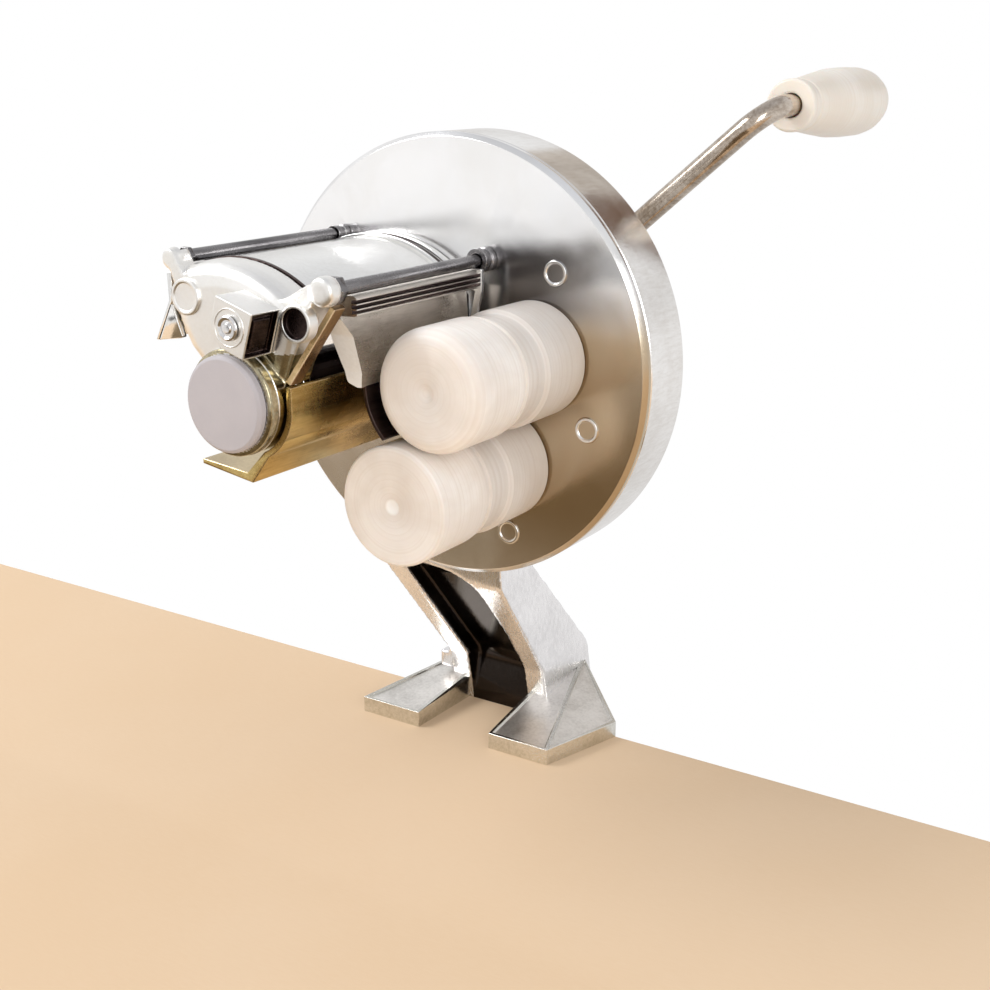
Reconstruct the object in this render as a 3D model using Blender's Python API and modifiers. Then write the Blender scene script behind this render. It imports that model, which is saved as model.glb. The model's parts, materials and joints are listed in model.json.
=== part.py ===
"""A cranked roller press that clamps to a table edge, built from separate pieces.

Metres, +Z up. The origin is the inner corner of the clamp, on the table's top edge:
X runs along the table edge, the head points to -Y over the table, and the crank is at +Y.
"""
import math

import bmesh
import bpy
from mathutils import Matrix, Vector

# Clearances and modelling steps
GAP = 0.0003
RUNNING_GAP = 0.0003
OVERRUN = 0.005
WELD = 0.00001
ROUND_STEPS = 32
SMALL_STEPS = 16
DRUM_STEPS = 72
SMOOTH_ANGLE = 35.0

# Gear housing: a shallow drum, open at the back
HOUSING_RADIUS = 0.075
HOUSING_HEIGHT = 0.141
HOUSING_FRONT = -0.034
HOUSING_DEPTH = 0.0258
HOUSING_WALL = 0.004
FACE_CHAMFER = 0.0012
RIM_LINE_SETBACK = 0.0030
RIM_LINE_DEPTH = 0.0005
RIM_LINE_WIDTH = 0.0009
BOSS_HEIGHT = 0.0030
BOSS_WALL = 0.0035

# Round marks on the drum's front face, on a circle of their own
MARK_CENTRE = (-0.003, -0.005)
MARK_INSET = 0.0166
MARK_RADIUS = 0.0033
MARK_HEIGHT = 0.0004
MARK_ANGLES = (40.0, -11.6, -61.8)

# Back cover
COVER_INSET = 0.0012
COVER_THICKNESS = 0.0032
COVER_LIP = 0.0012
COVER_SCREW_INSET = 0.0085
COVER_SCREW_ANGLES = (-20.0, 70.0, 160.0, 250.0)
COVER_SCREW_RADIUS = 0.0017
COVER_SCREW_HEAD = 0.0034
COVER_SCREW_HEAD_HEIGHT = 0.0022
COVER_SCREW_CHAMFER = 0.0009
COVER_SCREW_LENGTH = 0.0120
PILLAR_RADIUS = 0.0052
NECK_ROOT_RADIUS = 0.0200
NECK_TIP_RADIUS = 0.0125
NECK_LENGTH = 0.0385
NECK_TIP_LENGTH = 0.0128
ROLLER_CUP_RADIUS = 0.0085
ROLLER_CUP_HEIGHT = 0.0065

# Main shaft, shared by the crank, the main gear and the cutter
SHAFT_X = -0.014
SHAFT_RISE = 0.0015
SHAFT_RADIUS = 0.0060
SHAFT_NOSE_RADIUS = 0.0045
SHAFT_TAIL_RADIUS = 0.0040
BUSH_WALL = 0.0022
NECK_BUSH_LENGTH = 0.0256
NOSE_WALL = 0.0025

# Rollers, on an orbit round the main shaft
ROLLER_ORBIT = 0.0490
ROLLER_ANGLES = (3.8, -42.9)
ROLLER_RADIUS = 0.0189
ROLLER_LENGTH = 0.0610
ROLLER_SETBACK = 0.0006
ROLLER_WAIST_RADIUS = 0.0177
ROLLER_WAIST_START = 0.0230
ROLLER_WAIST_END = 0.0360
ROLLER_SLOPE = 0.0016
ROLLER_NOSES = (0.0050, 0.0014)
ROLLER_SHAFT_RADIUS = 0.0040
ROLLER_SHAFT_REACH = 0.0520
ROLLER_BUSH_WALL = 0.0018
DIMPLE_RADIUS = 0.0022
DIMPLE_DEPTH = 0.0008

# Gears
MAIN_TEETH = 32
PINION_TEETH = 16
ROLLER_TEETH = 20
GEAR_WIDTH = 0.0070
ADDENDUM_SHARE = 0.80
DEDENDUM_SHARE = 1.10
ROOT_SHARE = 0.60
TIP_SHARE = 0.24

# Legs, spine and lower arm, in side view: places along Y and Z
FLANGE_THICKNESS = 0.0090
FLANGE_OUTER = 0.0215
LEG_SETBACK = 0.0050
LEG_REAR_SETBACK = 0.0010
LEG_ROOT_RISE = 0.0170
LEG_TOP_DROP = 0.0060
REAR_SHOULDER_DROP = 0.0005
KNEE_Y = -0.0040
KNEE_Z = 0.0200
REAR_KNEE_Y = 0.0297
REAR_KNEE_Z = 0.0210
SPINE_BACK = 0.0330
SPINE_BACK_Z = 0.0060
SPINE_FOOT_Y = 0.0270
THROAT_DEPTH = 0.0520
ARM_HEIGHT = 0.0140
ARM_REACH = 0.0380
ARM_CHAMFER = 0.0050
THROAT_FILLET = 0.0060
LEFT_LEAN = -0.0100
RIGHT_LEAN = -0.0030
POCKET_DEPTH = 0.0080
POCKET_TOP_DROP = 0.0025
WEB_THICKNESS = 0.0060
WEB_TOE_Z = 0.0040
WEB_BITE = 0.0005
WEB_STEP = 0.0004
CORNER_EDGE = ((-0.0140, 0.0640), (-0.0037, 0.0627), (0.0059, 0.0583), (0.0094, 0.0461),
               (0.0118, 0.0348))
CORNER_DEPTH = 0.0070
CORNER_ROOT_X = 0.0150

# Feet: the right one flares at its rear, the left one narrows
FOOT_EDGE = 0.0060
FOOT_TOP = 0.0088
FOOT_REAR_TOP = 0.0140
FOOT_FRONT = -0.0330
FOOT_INNER = 0.0155
RIGHT_FOOT_OUTER = 0.0400
RIGHT_FOOT_FLARE = 0.0500
LEFT_FOOT_OUTER = 0.0410
LEFT_FOOT_TAPER = 0.0368
LUG_LOW = (-0.0255, -0.0040, 0.0120)
LUG_HIGH = (-0.0205, 0.0060, 0.0185)
FOOT_REAR = 0.0280

# Table clamp
CLAMP_Y = -0.0220
SCREW_RADIUS = 0.0050
SCREW_BOSS_RADIUS = 0.0100
SCREW_BOSS_RISE = 0.0030
PAD_RADIUS = 0.0130
PAD_THICKNESS = 0.0055
PAD_EDGE = 0.0018
PAD_TOP_Z = -0.0300
PAD_SOCKET_RADIUS = 0.0062
SCREW_NECK_RADIUS = 0.0036
SCREW_NECK_LENGTH = 0.0035
SCREW_HEAD_RADIUS = 0.0075
SCREW_HEAD_HEIGHT = 0.0140
SCREW_REACH = 0.0720
TBAR_RADIUS = 0.0026
TBAR_LENGTH = 0.0640
KNOB_RADIUS = 0.0050
KNOB_LENGTH = 0.0080
KNOB_ROUND = 0.0012

# Tie rods of the head
LEFT_ROD = (-0.0425, 0.0403)
RIGHT_ROD = (0.0160, 0.0353)
ROD_RADIUS = 0.0021
ROD_NUT_RADII = (0.0032, 0.0042)
ROD_NUT_HEIGHTS = (0.0016, 0.0032)
ROD_COLLAR_RADII = (0.0028, 0.0040)
ROD_COLLAR_LENGTH = 0.0060
ROD_HOLE_GAP = 0.0003
ROD_SKIN = 0.0015

# Vault cover, a wide low arch
VAULT_CENTRE = (-0.0240, -0.0040)
VAULT_RADIUS = 0.0450
VAULT_WALL = 0.0025
VAULT_ANGLES = (113.0, 52.0)

# End bracket, with the front bearing
BRACKET_THICKNESS = 0.0130
BRACKET_ROUND = 0.0040
LEFT_EAR_RADIUS = 0.0034
RIGHT_EAR_RADIUS = 0.0044
LEFT_EAR_ARC = (265.0, 60.0)
RIGHT_EAR_ARC = (120.0, -145.0)
EAR_SETBACKS = (0.0030, 0.0)
EAR_THICKNESS = 0.0050
EAR_RELIEF = 0.0006
BRACKET_ARC_INSET = 8.0
BRACKET_WAIST = 0.0120
BRACKET_DROP = 0.0080
BRACKET_LEFT_SIDE = ((-0.0400, 0.0300), (-0.0365, 0.0230), (-0.0285, 0.0125))
BRACKET_RIGHT_SIDE = ((0.0118, 0.0315), (0.0015, 0.0085))
BEARING_RADIUS = 0.0160
BEARING_LENGTH = 0.0190
CAP_RADIUS = 0.0144
CAP_THICKNESS = 0.0030
CAP_CHAMFER = 0.0006
LEFT_BOSS = (-0.0345, 0.0300)
RIGHT_BOSS = (0.0085, 0.0262)
BOSS_RADIUS = 0.0055
BOSS_THICKNESS = 0.0030
BOSS_CHAMFER = 0.0010
BLOCK_CENTRE = (-0.0065, 0.0253)
BLOCK_SIZE = 0.0140
BLOCK_LENGTH = 0.0120
BLOCK_TILT = -18.0
BLOCK_CHAMFER = 0.0045
BLOCK_BOLT_RADIUS = 0.0036
BLOCK_BOLT_HEIGHT = 0.0012

# Side wall beside the top roller, with a grooved rail on top
WALL_OUTER_X = 0.0125
WALL_TOE = 0.0016
WALL_END_CLEARANCE = 0.0160
WALL_SETBACK = 0.0070
RAIL_INNER_X = 0.0042
RAIL_OUTER_X = 0.0185
RAIL_TOP = 0.0328
RAIL_BOTTOM = 0.0270
RAIL_GROOVE = 0.0008
LIP_CLEARANCE = 0.0025
LIP_THICKNESS = 0.0014
LIP_ANGLES = (170.0, 180.0, 226.0)
WALL_INNER_SIDE = ((0.0082, 0.0058), (0.0066, 0.0113), (0.0048, 0.0182), (0.0042, 0.0230))

# Forming trough under the cutter
TROUGH_TOP_X = 0.0044
TROUGH_TOP_RISE = 0.0071
TROUGH_ARC_RADIUS = 0.0186
TROUGH_ARC_END = -61.0
TROUGH_INNER_LAG = 4.0
TROUGH_CORNER = (-0.0120, -0.0238)
TROUGH_TIP = (-0.0320, -0.0207)
TROUGH_WALL = 0.0020
TROUGH_LENGTH = 0.0850
WINDOW_NEAR = 0.0060
WINDOW_FAR = 0.0320
WINDOW_LOW = -0.0090
WINDOW_HIGH = 0.0010

# Cutter
CUTTER_RADIUS = 0.0095
CUTTER_DRUM_GAP = 0.0040
CUTTER_HEAD_GAP = 0.0050
BLADE_TIP_RADIUS = 0.0136
BLADE_THICKNESS = 0.0016
BLADE_SEAT_RADIUS = 0.0068

# Left hood
HOOD_KNEE = (-0.0450, 0.0275)
HOOD_LOW = (-0.0515, 0.0150)
HOOD_RETURN = (-0.0400, 0.0166)
HOOD_WALL = 0.0018
HOOD_TOP_INSET = 0.0027
HOOD_END_SETBACK = 0.0030
HOOD_START = 0.0020

# Right strap, from the right rod to the trough
STRAP_WIDTH = 0.0050
STRAP_THICKNESS = 0.0022
STRAP_TOP_ANGLE = -95.0
STRAP_LEAN = 0.0065
STRAP_EAR_GAP = 0.0007

# Crank
CRANK_PLANE = 0.0410
CRANK_ANGLE = 40.5
CRANK_THROW = 0.1240
CRANK_BEND = 0.0130
CRANK_ROD_RADIUS = 0.0038
CRANK_ROD_SEAT = 0.0076
HUB_RADIUS = 0.0095
HUB_LENGTH = 0.0130
CRANK_NUT_RADIUS = 0.0062
CRANK_NUT_HEIGHT = 0.0050
SHAFT_TAIL = 0.0020
GRIP_RADIUS = 0.0125
GRIP_NECK_RADIUS = 0.0090
GRIP_LENGTH = 0.0780
GRIP_SETBACK = 0.0040
GRIP_SHOULDER = 0.0098
GRIP_BARREL = 0.0292
GRIP_COLLAR = 0.0078
GRIP_CAP_RADIUS = 0.0062
GRIP_CAP_HEIGHT = 0.0030

# Finishes: colour, metallic, roughness
POLISHED = ((0.82, 0.82, 0.84, 1.0), 1.0, 0.16)
SATIN = ((0.72, 0.72, 0.74, 1.0), 1.0, 0.32)
STEEL = ((0.60, 0.60, 0.62, 1.0), 1.0, 0.24)
BRONZE = ((0.62, 0.44, 0.24, 1.0), 1.0, 0.35)
IVORY = ((0.86, 0.80, 0.74, 1.0), 0.0, 0.40)
GREY_CAP = ((0.52, 0.50, 0.55, 1.0), 0.0, 0.55)

# Places worked out from the sizes above
HOUSING_BACK = HOUSING_FRONT + HOUSING_DEPTH
DRUM_BOTTOM = HOUSING_HEIGHT - HOUSING_RADIUS
COVER_RADIUS = HOUSING_RADIUS - COVER_INSET
COVER_SCREW_ORBIT = HOUSING_RADIUS - COVER_SCREW_INSET
MARK_ORBIT = HOUSING_RADIUS - MARK_INSET
LEG_TOP_Z = DRUM_BOTTOM - LEG_TOP_DROP
POCKET_TOP_Z = DRUM_BOTTOM - POCKET_TOP_DROP
REAR_SHOULDER_Z = DRUM_BOTTOM - REAR_SHOULDER_DROP
COVER_FRONT = HOUSING_BACK + GAP
COVER_BACK = COVER_FRONT + COVER_THICKNESS
SHAFT = (SHAFT_X, HOUSING_HEIGHT + SHAFT_RISE)
DRUM = (0, HOUSING_HEIGHT)
ORIGIN = (0, 0)
HUB_BACK = CRANK_PLANE + HUB_LENGTH / 2
TROUGH_END = HOUSING_FRONT - TROUGH_LENGTH
BRACKET_END = TROUGH_END
HEAD_END = BRACKET_END + BRACKET_THICKNESS
BEARING_END = HEAD_END - BEARING_LENGTH


def polar(centre, radius, degrees):
    """The point at an angle and a distance from a centre, in a flat outline."""
    angle = math.radians(degrees)
    return (centre[0] + radius * math.cos(angle), centre[1] + radius * math.sin(angle))


def arc(centre, radius, start, end, count):
    """Points along a circle, both ends included."""
    return [polar(centre, radius, start + (end - start) * i / count) for i in range(count + 1)]


def shifted(point, offset):
    """A flat point moved by an offset."""
    return (point[0] + offset[0], point[1] + offset[1])


TOP_ROLLER = polar(SHAFT, ROLLER_ORBIT, ROLLER_ANGLES[0])
BOTTOM_ROLLER = polar(SHAFT, ROLLER_ORBIT, ROLLER_ANGLES[1])

scene = bpy.context.scene
for old in list(bpy.data.objects):
    bpy.data.objects.remove(old)
PARTS = bpy.data.collections.new("noodle_press")
TOOLS = bpy.data.collections.new("cutters")
scene.collection.children.link(PARTS)
scene.collection.children.link(TOOLS)

# Turns that bring an object's local Z onto the row's axes
FACING = {
    "X": Matrix.Rotation(math.pi / 2, 4, "Z") @ Matrix.Rotation(math.pi / 2, 4, "X"),
    "Y": Matrix.Rotation(math.pi / 2, 4, "X"),
    "Z": Matrix.Identity(4),
}
SPIN = {
    "X": Matrix.Rotation(math.pi / 2, 4, "Y"),
    "Y": Matrix.Rotation(-math.pi / 2, 4, "X"),
    "Z": Matrix.Identity(4),
}


def in_space(along, centre, distance=0):
    """The place of a flat centre: (y, z) along X, (x, z) along Y and (x, y) along Z."""
    if along == "X":
        return Vector((distance, centre[0], centre[1]))
    if along == "Y":
        return Vector((centre[0], distance, centre[1]))
    return Vector((centre[0], centre[1], distance))


def smooth(mesh):
    """Soft shading, with sharp edges kept."""
    mesh.shade_smooth()
    mesh.set_sharp_from_angle(angle=math.radians(SMOOTH_ANGLE))


def turned(name, profile, centre, along="Y", steps=ROUND_STEPS):
    """A turned solid. The profile holds (radius, distance along the axis), far end first.

    A profile that ends off the axis is a closed ring."""
    mesh = bpy.data.meshes.new(name)
    points = [(radius, 0, distance) for radius, distance in profile]
    edges = [(i, i + 1) for i in range(len(points) - 1)]
    if profile[0][0] > 0:
        edges.append((len(points) - 1, 0))
    mesh.from_pydata(points, edges, [])
    shape = bpy.data.objects.new(name, mesh)
    shape.matrix_world = Matrix.Translation(in_space(along, centre)) @ SPIN[along]
    TOOLS.objects.link(shape)
    screw = shape.modifiers.new("turn", "SCREW")
    screw.steps = steps
    screw.render_steps = steps
    screw.use_merge_vertices = True
    screw.merge_threshold = WELD
    return shape


def rod(name, radius, near, far, centre, along="Y", steps=SMALL_STEPS):
    """A plain round bar between two distances along its axis."""
    return turned(name, [(0, far), (radius, far), (radius, near), (0, near)], centre, along, steps)


def tube(name, outer, inner, near, far, centre, along="Y", steps=SMALL_STEPS):
    """A plain sleeve."""
    profile = [(inner, far), (outer, far), (outer, near), (inner, near)]
    return turned(name, profile, centre, along, steps)


def gathered(name, shapes):
    """One or more shapes that don't touch, as one closed mesh object in row coordinates."""
    bpy.context.view_layer.update()
    depsgraph = bpy.context.evaluated_depsgraph_get()
    work = bmesh.new()
    for shape in shapes:
        mesh = bpy.data.meshes.new_from_object(shape.evaluated_get(depsgraph))
        mesh.transform(shape.matrix_world)
        work.from_mesh(mesh)
    for shape in shapes:
        bpy.data.objects.remove(shape)
    bmesh.ops.remove_doubles(work, verts=work.verts, dist=WELD)
    bmesh.ops.recalc_face_normals(work, faces=work.faces)
    whole = bpy.data.meshes.new(name)
    work.to_mesh(whole)
    work.free()
    smooth(whole)
    solid = bpy.data.objects.new(name, whole)
    TOOLS.objects.link(solid)
    return solid


def with_origin(solid, place):
    """Put the origin of a solid in row coordinates at a place, such as a point on its joint's axis."""
    solid.data.transform(Matrix.Translation(-place))
    solid.matrix_world = Matrix.Translation(place)
    return solid


def plate(name, outline, near, far, centre=ORIGIN, along="Y", holes=()):
    """A flat outline made solid between two distances along an axis."""
    curve = bpy.data.curves.new(name, "CURVE")
    curve.dimensions = "2D"
    curve.fill_mode = "BOTH"
    curve.extrude = (far - near) / 2
    for loop in (outline, *holes):
        spline = curve.splines.new("POLY")
        spline.points.add(len(loop) - 1)
        for target, (across, up) in zip(spline.points, loop):
            target.co = (across, up, 0, 1)
        spline.use_cyclic_u = True
    shape = bpy.data.objects.new(name, curve)
    shape.matrix_world = Matrix.Translation(in_space(along, centre, (near + far) / 2)) @ FACING[along]
    TOOLS.objects.link(shape)
    return with_origin(gathered(name, [shape]), in_space(along, centre))


def bent_bar(name, path, radius, fineness=3):
    """A round bar along a list of points, with flat ends."""
    curve = bpy.data.curves.new(name, "CURVE")
    curve.dimensions = "3D"
    curve.bevel_depth = radius
    curve.bevel_resolution = fineness
    curve.use_fill_caps = True
    spline = curve.splines.new("POLY")
    spline.points.add(len(path) - 1)
    for target, point in zip(spline.points, path):
        target.co = (*point, 1)
    shape = bpy.data.objects.new(name, curve)
    TOOLS.objects.link(shape)
    return gathered(name, [shape])


def box(name, low, high):
    """A plain block between two corners."""
    work = bmesh.new()
    bmesh.ops.create_cube(work, size=1)
    size = [high[i] - low[i] for i in range(3)]
    middle = [(high[i] + low[i]) / 2 for i in range(3)]
    bmesh.ops.scale(work, vec=size, verts=work.verts)
    bmesh.ops.translate(work, vec=middle, verts=work.verts)
    mesh = bpy.data.meshes.new(name)
    work.to_mesh(mesh)
    work.free()
    solid = bpy.data.objects.new(name, mesh)
    TOOLS.objects.link(solid)
    return solid


def combine(target, tool, operation="DIFFERENCE"):
    """Cut a tool from a target, or join it to the target."""
    tool.hide_render = True
    tool.display_type = "WIRE"
    change = target.modifiers.new(tool.name, "BOOLEAN")
    change.object = tool
    change.operation = operation
    change.solver = "EXACT"
    return target


def join(target, tool):
    """Fuse a tool with the target."""
    return combine(target, tool, "UNION")


def rounded(target, width, segments=2, angle=30.0):
    """Rounded outer edges."""
    bevel = target.modifiers.new("edges", "BEVEL")
    bevel.width = width
    bevel.segments = segments
    bevel.limit_method = "ANGLE"
    bevel.angle_limit = math.radians(angle)
    return target


def part(shape, name, finish):
    """Move a finished shape into the object's collection, with its own material."""
    colour, metallic, roughness = finish
    TOOLS.objects.unlink(shape)
    PARTS.objects.link(shape)
    shape.name = name
    material = bpy.data.materials.new(name)
    material.use_nodes = True
    shader = material.node_tree.nodes["Principled BSDF"]
    shader.inputs["Base Color"].default_value = colour
    shader.inputs["Metallic"].default_value = metallic
    shader.inputs["Roughness"].default_value = roughness
    shape.data.materials.clear()
    shape.data.materials.append(material)
    return shape


def hexagon(radius):
    """A six-sided outline round its own centre."""
    return [polar(ORIGIN, radius, 60.0 * i) for i in range(6)]


def hex_nut(name, radius, hole, near, far, centre):
    """A hexagonal nut."""
    bore = arc(ORIGIN, hole, 0, 360, SMALL_STEPS)[:-1]
    return plate(name, hexagon(radius), near, far, centre, holes=(bore,))


def side_outline():
    """The flanges' side view, as (y, z): leg, spine and the lower arm that reaches back under the table."""
    leg_front = HOUSING_FRONT + LEG_SETBACK
    leg_rear = HOUSING_BACK - LEG_REAR_SETBACK
    root = DRUM_BOTTOM + LEG_ROOT_RISE
    floor = -THROAT_DEPTH
    bottom = floor - ARM_HEIGHT
    fillet_centre = (WEB_STEP - THROAT_FILLET, floor + THROAT_FILLET)
    return [
        (leg_front, root),
        (leg_front, LEG_TOP_Z),
        (KNEE_Y, KNEE_Z),
        (WEB_STEP, WEB_BITE),
        *arc(fillet_centre, THROAT_FILLET, 0, -90, 4),
        (-ARM_REACH + ARM_CHAMFER, floor),
        (-ARM_REACH, floor - ARM_CHAMFER),
        (-ARM_REACH, bottom + ARM_CHAMFER),
        (-ARM_REACH + ARM_CHAMFER, bottom),
        (SPINE_FOOT_Y - ARM_CHAMFER, bottom),
        (SPINE_FOOT_Y, bottom + ARM_CHAMFER),
        (SPINE_BACK, SPINE_BACK_Z),
        (REAR_KNEE_Y, REAR_KNEE_Z),
        (leg_rear, REAR_SHOULDER_Z),
        (leg_rear, root),
    ]


def web_outline():
    """The web between the flanges, as (y, z): set back between the legs, and against the table edge below."""
    leg_front = HOUSING_FRONT + LEG_SETBACK + WEB_STEP
    root = DRUM_BOTTOM + LEG_ROOT_RISE - WEB_STEP
    floor = -THROAT_DEPTH
    middle = floor - ARM_HEIGHT / 2
    arm_top = middle + WEB_THICKNESS / 2
    arm_bottom = middle - WEB_THICKNESS / 2
    return [
        (leg_front, root),
        (leg_front, POCKET_TOP_Z),
        (leg_front + POCKET_DEPTH, POCKET_TOP_Z - POCKET_DEPTH / 2),
        (KNEE_Y + POCKET_DEPTH, KNEE_Z),
        (0, WEB_TOE_Z),
        (0, arm_top),
        (-ARM_REACH + ARM_CHAMFER, arm_top),
        (-ARM_REACH + ARM_CHAMFER, arm_bottom),
        (0, arm_bottom),
        (WEB_THICKNESS, arm_top),
        (WEB_THICKNESS, WEB_TOE_Z),
        (KNEE_Y + POCKET_DEPTH + WEB_THICKNESS, KNEE_Z),
        (leg_front + POCKET_DEPTH + WEB_THICKNESS, POCKET_TOP_Z),
        (leg_front + POCKET_DEPTH + WEB_THICKNESS, root),
    ]


def lean_legs(shape):
    """Lean the legs sideways above the knee, as they spread towards the drum."""
    work = bmesh.new()
    work.from_mesh(shape.data)
    geometry = work.verts[:] + work.edges[:] + work.faces[:]
    bmesh.ops.bisect_plane(work, geom=geometry, plane_co=(0, 0, KNEE_Z), plane_no=(0, 0, 1), dist=WELD)
    for vertex in work.verts:
        share = max(0, vertex.co.z - KNEE_Z) / (LEG_TOP_Z - KNEE_Z)
        vertex.co.x += share * (LEFT_LEAN if vertex.co.x < 0 else RIGHT_LEAN)
    work.to_mesh(shape.data)
    work.free()
    return shape


def hull(name, corners):
    """The convex solid round a few corners."""
    work = bmesh.new()
    for corner in corners:
        work.verts.new(corner)
    found = bmesh.ops.convex_hull(work, input=work.verts)
    inside = [piece for piece in found["geom_interior"] if isinstance(piece, bmesh.types.BMVert)]
    bmesh.ops.delete(work, geom=inside, context="VERTS")
    bmesh.ops.recalc_face_normals(work, faces=work.faces)
    mesh = bpy.data.meshes.new(name)
    work.to_mesh(mesh)
    work.free()
    solid = bpy.data.objects.new(name, mesh)
    TOOLS.objects.link(solid)
    return solid


def foot(name, side, outer_front, outer_rear):
    """A low foot that rises a little to its leg. Side is 1 on the right and -1 on the left."""
    inner = FLANGE_OUTER - FLANGE_THICKNESS + 2 * WEB_BITE
    outer = FLANGE_OUTER - WEB_BITE
    rim = [(FOOT_INNER, FOOT_FRONT), (outer_front, FOOT_FRONT), (outer_rear, 0)]
    corners = [(side * x, y, z) for x, y in rim for z in (0, FOOT_EDGE)]
    corners += [(side * x, FOOT_REAR, z) for x in (inner, outer) for z in (0, FOOT_REAR_TOP)]
    corners += [(side * x, KNEE_Y, FOOT_TOP) for x in (inner, outer)]
    return hull(name, corners)


def corner_rib():
    """The cast corner between the drum and the right leg, whose free edge curves down along the leg."""
    root = DRUM_BOTTOM + LEG_ROOT_RISE / 2
    slope = (HOUSING_FRONT + LEG_SETBACK - KNEE_Y) / (LEG_TOP_Z - KNEE_Z)
    rows = []
    for x, z in [(CORNER_EDGE[0][0], root), *CORNER_EDGE]:
        front = KNEE_Y + slope * (min(z, LEG_TOP_Z) - KNEE_Z) + WEB_BITE
        far = front + CORNER_DEPTH
        rows.append([(x, front, z), (CORNER_ROOT_X, front, z), (CORNER_ROOT_X, far, z), (x, far, z)])
    work = bmesh.new()
    loops = [[work.verts.new(corner) for corner in row] for row in rows]
    for first, second in zip(loops, loops[1:]):
        for i in range(len(first)):
            j = (i + 1) % len(first)
            work.faces.new([first[i], first[j], second[j], second[i]])
    work.faces.new(loops[0])
    work.faces.new(list(reversed(loops[-1])))
    bmesh.ops.recalc_face_normals(work, faces=work.faces)
    mesh = bpy.data.meshes.new("corner_rib")
    work.to_mesh(mesh)
    work.free()
    solid = bpy.data.objects.new("corner_rib", mesh)
    TOOLS.objects.link(solid)
    return solid


def drum_profile():
    """The drum's own turned section, closed at the front."""
    inner = HOUSING_RADIUS - HOUSING_WALL
    floor = HOUSING_FRONT + HOUSING_WALL
    line = HOUSING_FRONT + RIM_LINE_SETBACK
    return [
        (0, HOUSING_BACK),
        (HOUSING_RADIUS, HOUSING_BACK),
        (HOUSING_RADIUS, line + RIM_LINE_WIDTH),
        (HOUSING_RADIUS - RIM_LINE_DEPTH, line + RIM_LINE_WIDTH / 2),
        (HOUSING_RADIUS, line),
        (HOUSING_RADIUS, HOUSING_FRONT + FACE_CHAMFER),
        (HOUSING_RADIUS - FACE_CHAMFER, HOUSING_FRONT),
        (0, HOUSING_FRONT),
    ], [
        (0, HOUSING_BACK + OVERRUN),
        (inner, HOUSING_BACK + OVERRUN),
        (inner, floor),
        (0, floor),
    ]


def bearing_places():
    """Each shaft's centre, with its bush's outer radius."""
    roller_bush = ROLLER_SHAFT_RADIUS + RUNNING_GAP + ROLLER_BUSH_WALL
    return {
        "main": (SHAFT, SHAFT_RADIUS + RUNNING_GAP + BUSH_WALL),
        "top": (TOP_ROLLER, roller_bush),
        "bottom": (BOTTOM_ROLLER, roller_bush),
    }


def build_stand():
    """Two legs, the web between them, the feet, the spine and the lower arm, cast in one."""
    inner_flange = FLANGE_OUTER - FLANGE_THICKNESS
    stand = lean_legs(plate("left_flange", side_outline(), -FLANGE_OUTER, -inner_flange, along="X"))
    join(stand, lean_legs(plate("right_flange", side_outline(), inner_flange, FLANGE_OUTER, along="X")))
    half_web = inner_flange + WEB_BITE
    join(stand, lean_legs(plate("web", web_outline(), -half_web, half_web, along="X")))
    join(stand, foot("right_foot", 1, RIGHT_FOOT_OUTER, RIGHT_FOOT_FLARE))
    join(stand, foot("left_foot", -1, LEFT_FOOT_OUTER, LEFT_FOOT_TAPER))
    join(stand, box("left_lug", LUG_LOW, LUG_HIGH))
    join(stand, corner_rib())
    boss_low = -THROAT_DEPTH - ARM_HEIGHT - SCREW_BOSS_RISE
    boss_high = -THROAT_DEPTH + SCREW_BOSS_RISE
    join(stand, rod("screw_boss", SCREW_BOSS_RADIUS, boss_low, boss_high, (0, CLAMP_Y), "Z"))
    seat_near = HOUSING_FRONT - OVERRUN
    seat_far = HOUSING_BACK + OVERRUN
    combine(stand, rod("drum_seat", HOUSING_RADIUS + GAP, seat_near, seat_far, DRUM, steps=DRUM_STEPS))
    hole = SCREW_RADIUS + RUNNING_GAP
    combine(stand, rod("screw_hole", hole, boss_low - OVERRUN, boss_high + OVERRUN, (0, CLAMP_Y), "Z"))
    part(with_origin(gathered("stand", [stand]), Vector((0, 0, 0))), "stand", POLISHED)


def build_housing():
    """The drum that holds the gears, with its bearing bosses, screw pillars and raised marks."""
    outside, cavity = drum_profile()
    housing = turned("drum", outside, DRUM, steps=DRUM_STEPS)
    combine(housing, turned("cavity", cavity, DRUM, steps=DRUM_STEPS))
    floor = HOUSING_FRONT + HOUSING_WALL
    sunk = HOUSING_WALL / 2
    front = HOUSING_FRONT - OVERRUN
    raised = []
    holes = []
    for angle in COVER_SCREW_ANGLES:
        place = polar(DRUM, COVER_SCREW_ORBIT, angle)
        raised.append(rod("pillar", PILLAR_RADIUS, floor - sunk, HOUSING_BACK - GAP, place))
        hole_near = HOUSING_BACK - COVER_SCREW_LENGTH
        holes.append(rod("pillar_hole", COVER_SCREW_RADIUS + GAP, hole_near, HOUSING_BACK + OVERRUN, place))
    for place, bush_radius in bearing_places().values():
        top = floor + BOSS_HEIGHT
        raised.append(rod("boss", bush_radius + BOSS_WALL, floor - sunk, top, place, steps=ROUND_STEPS))
        holes.append(rod("bore", bush_radius + GAP, front, top + OVERRUN, place))
    for angle in MARK_ANGLES:
        place = polar(shifted(DRUM, MARK_CENTRE), MARK_ORBIT, angle)
        raised.append(rod("mark", MARK_RADIUS, HOUSING_FRONT - MARK_HEIGHT, HOUSING_FRONT + sunk / 2, place))
    for offset in (LEFT_ROD, RIGHT_ROD):
        place = shifted(DRUM, offset)
        holes.append(rod("rod_hole", ROD_RADIUS + ROD_HOLE_GAP, front, floor + OVERRUN, place))
    join(housing, gathered("bosses_and_marks", raised))
    combine(housing, gathered("housing_holes", holes))
    part(housing, "gear_housing", POLISHED)


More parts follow.
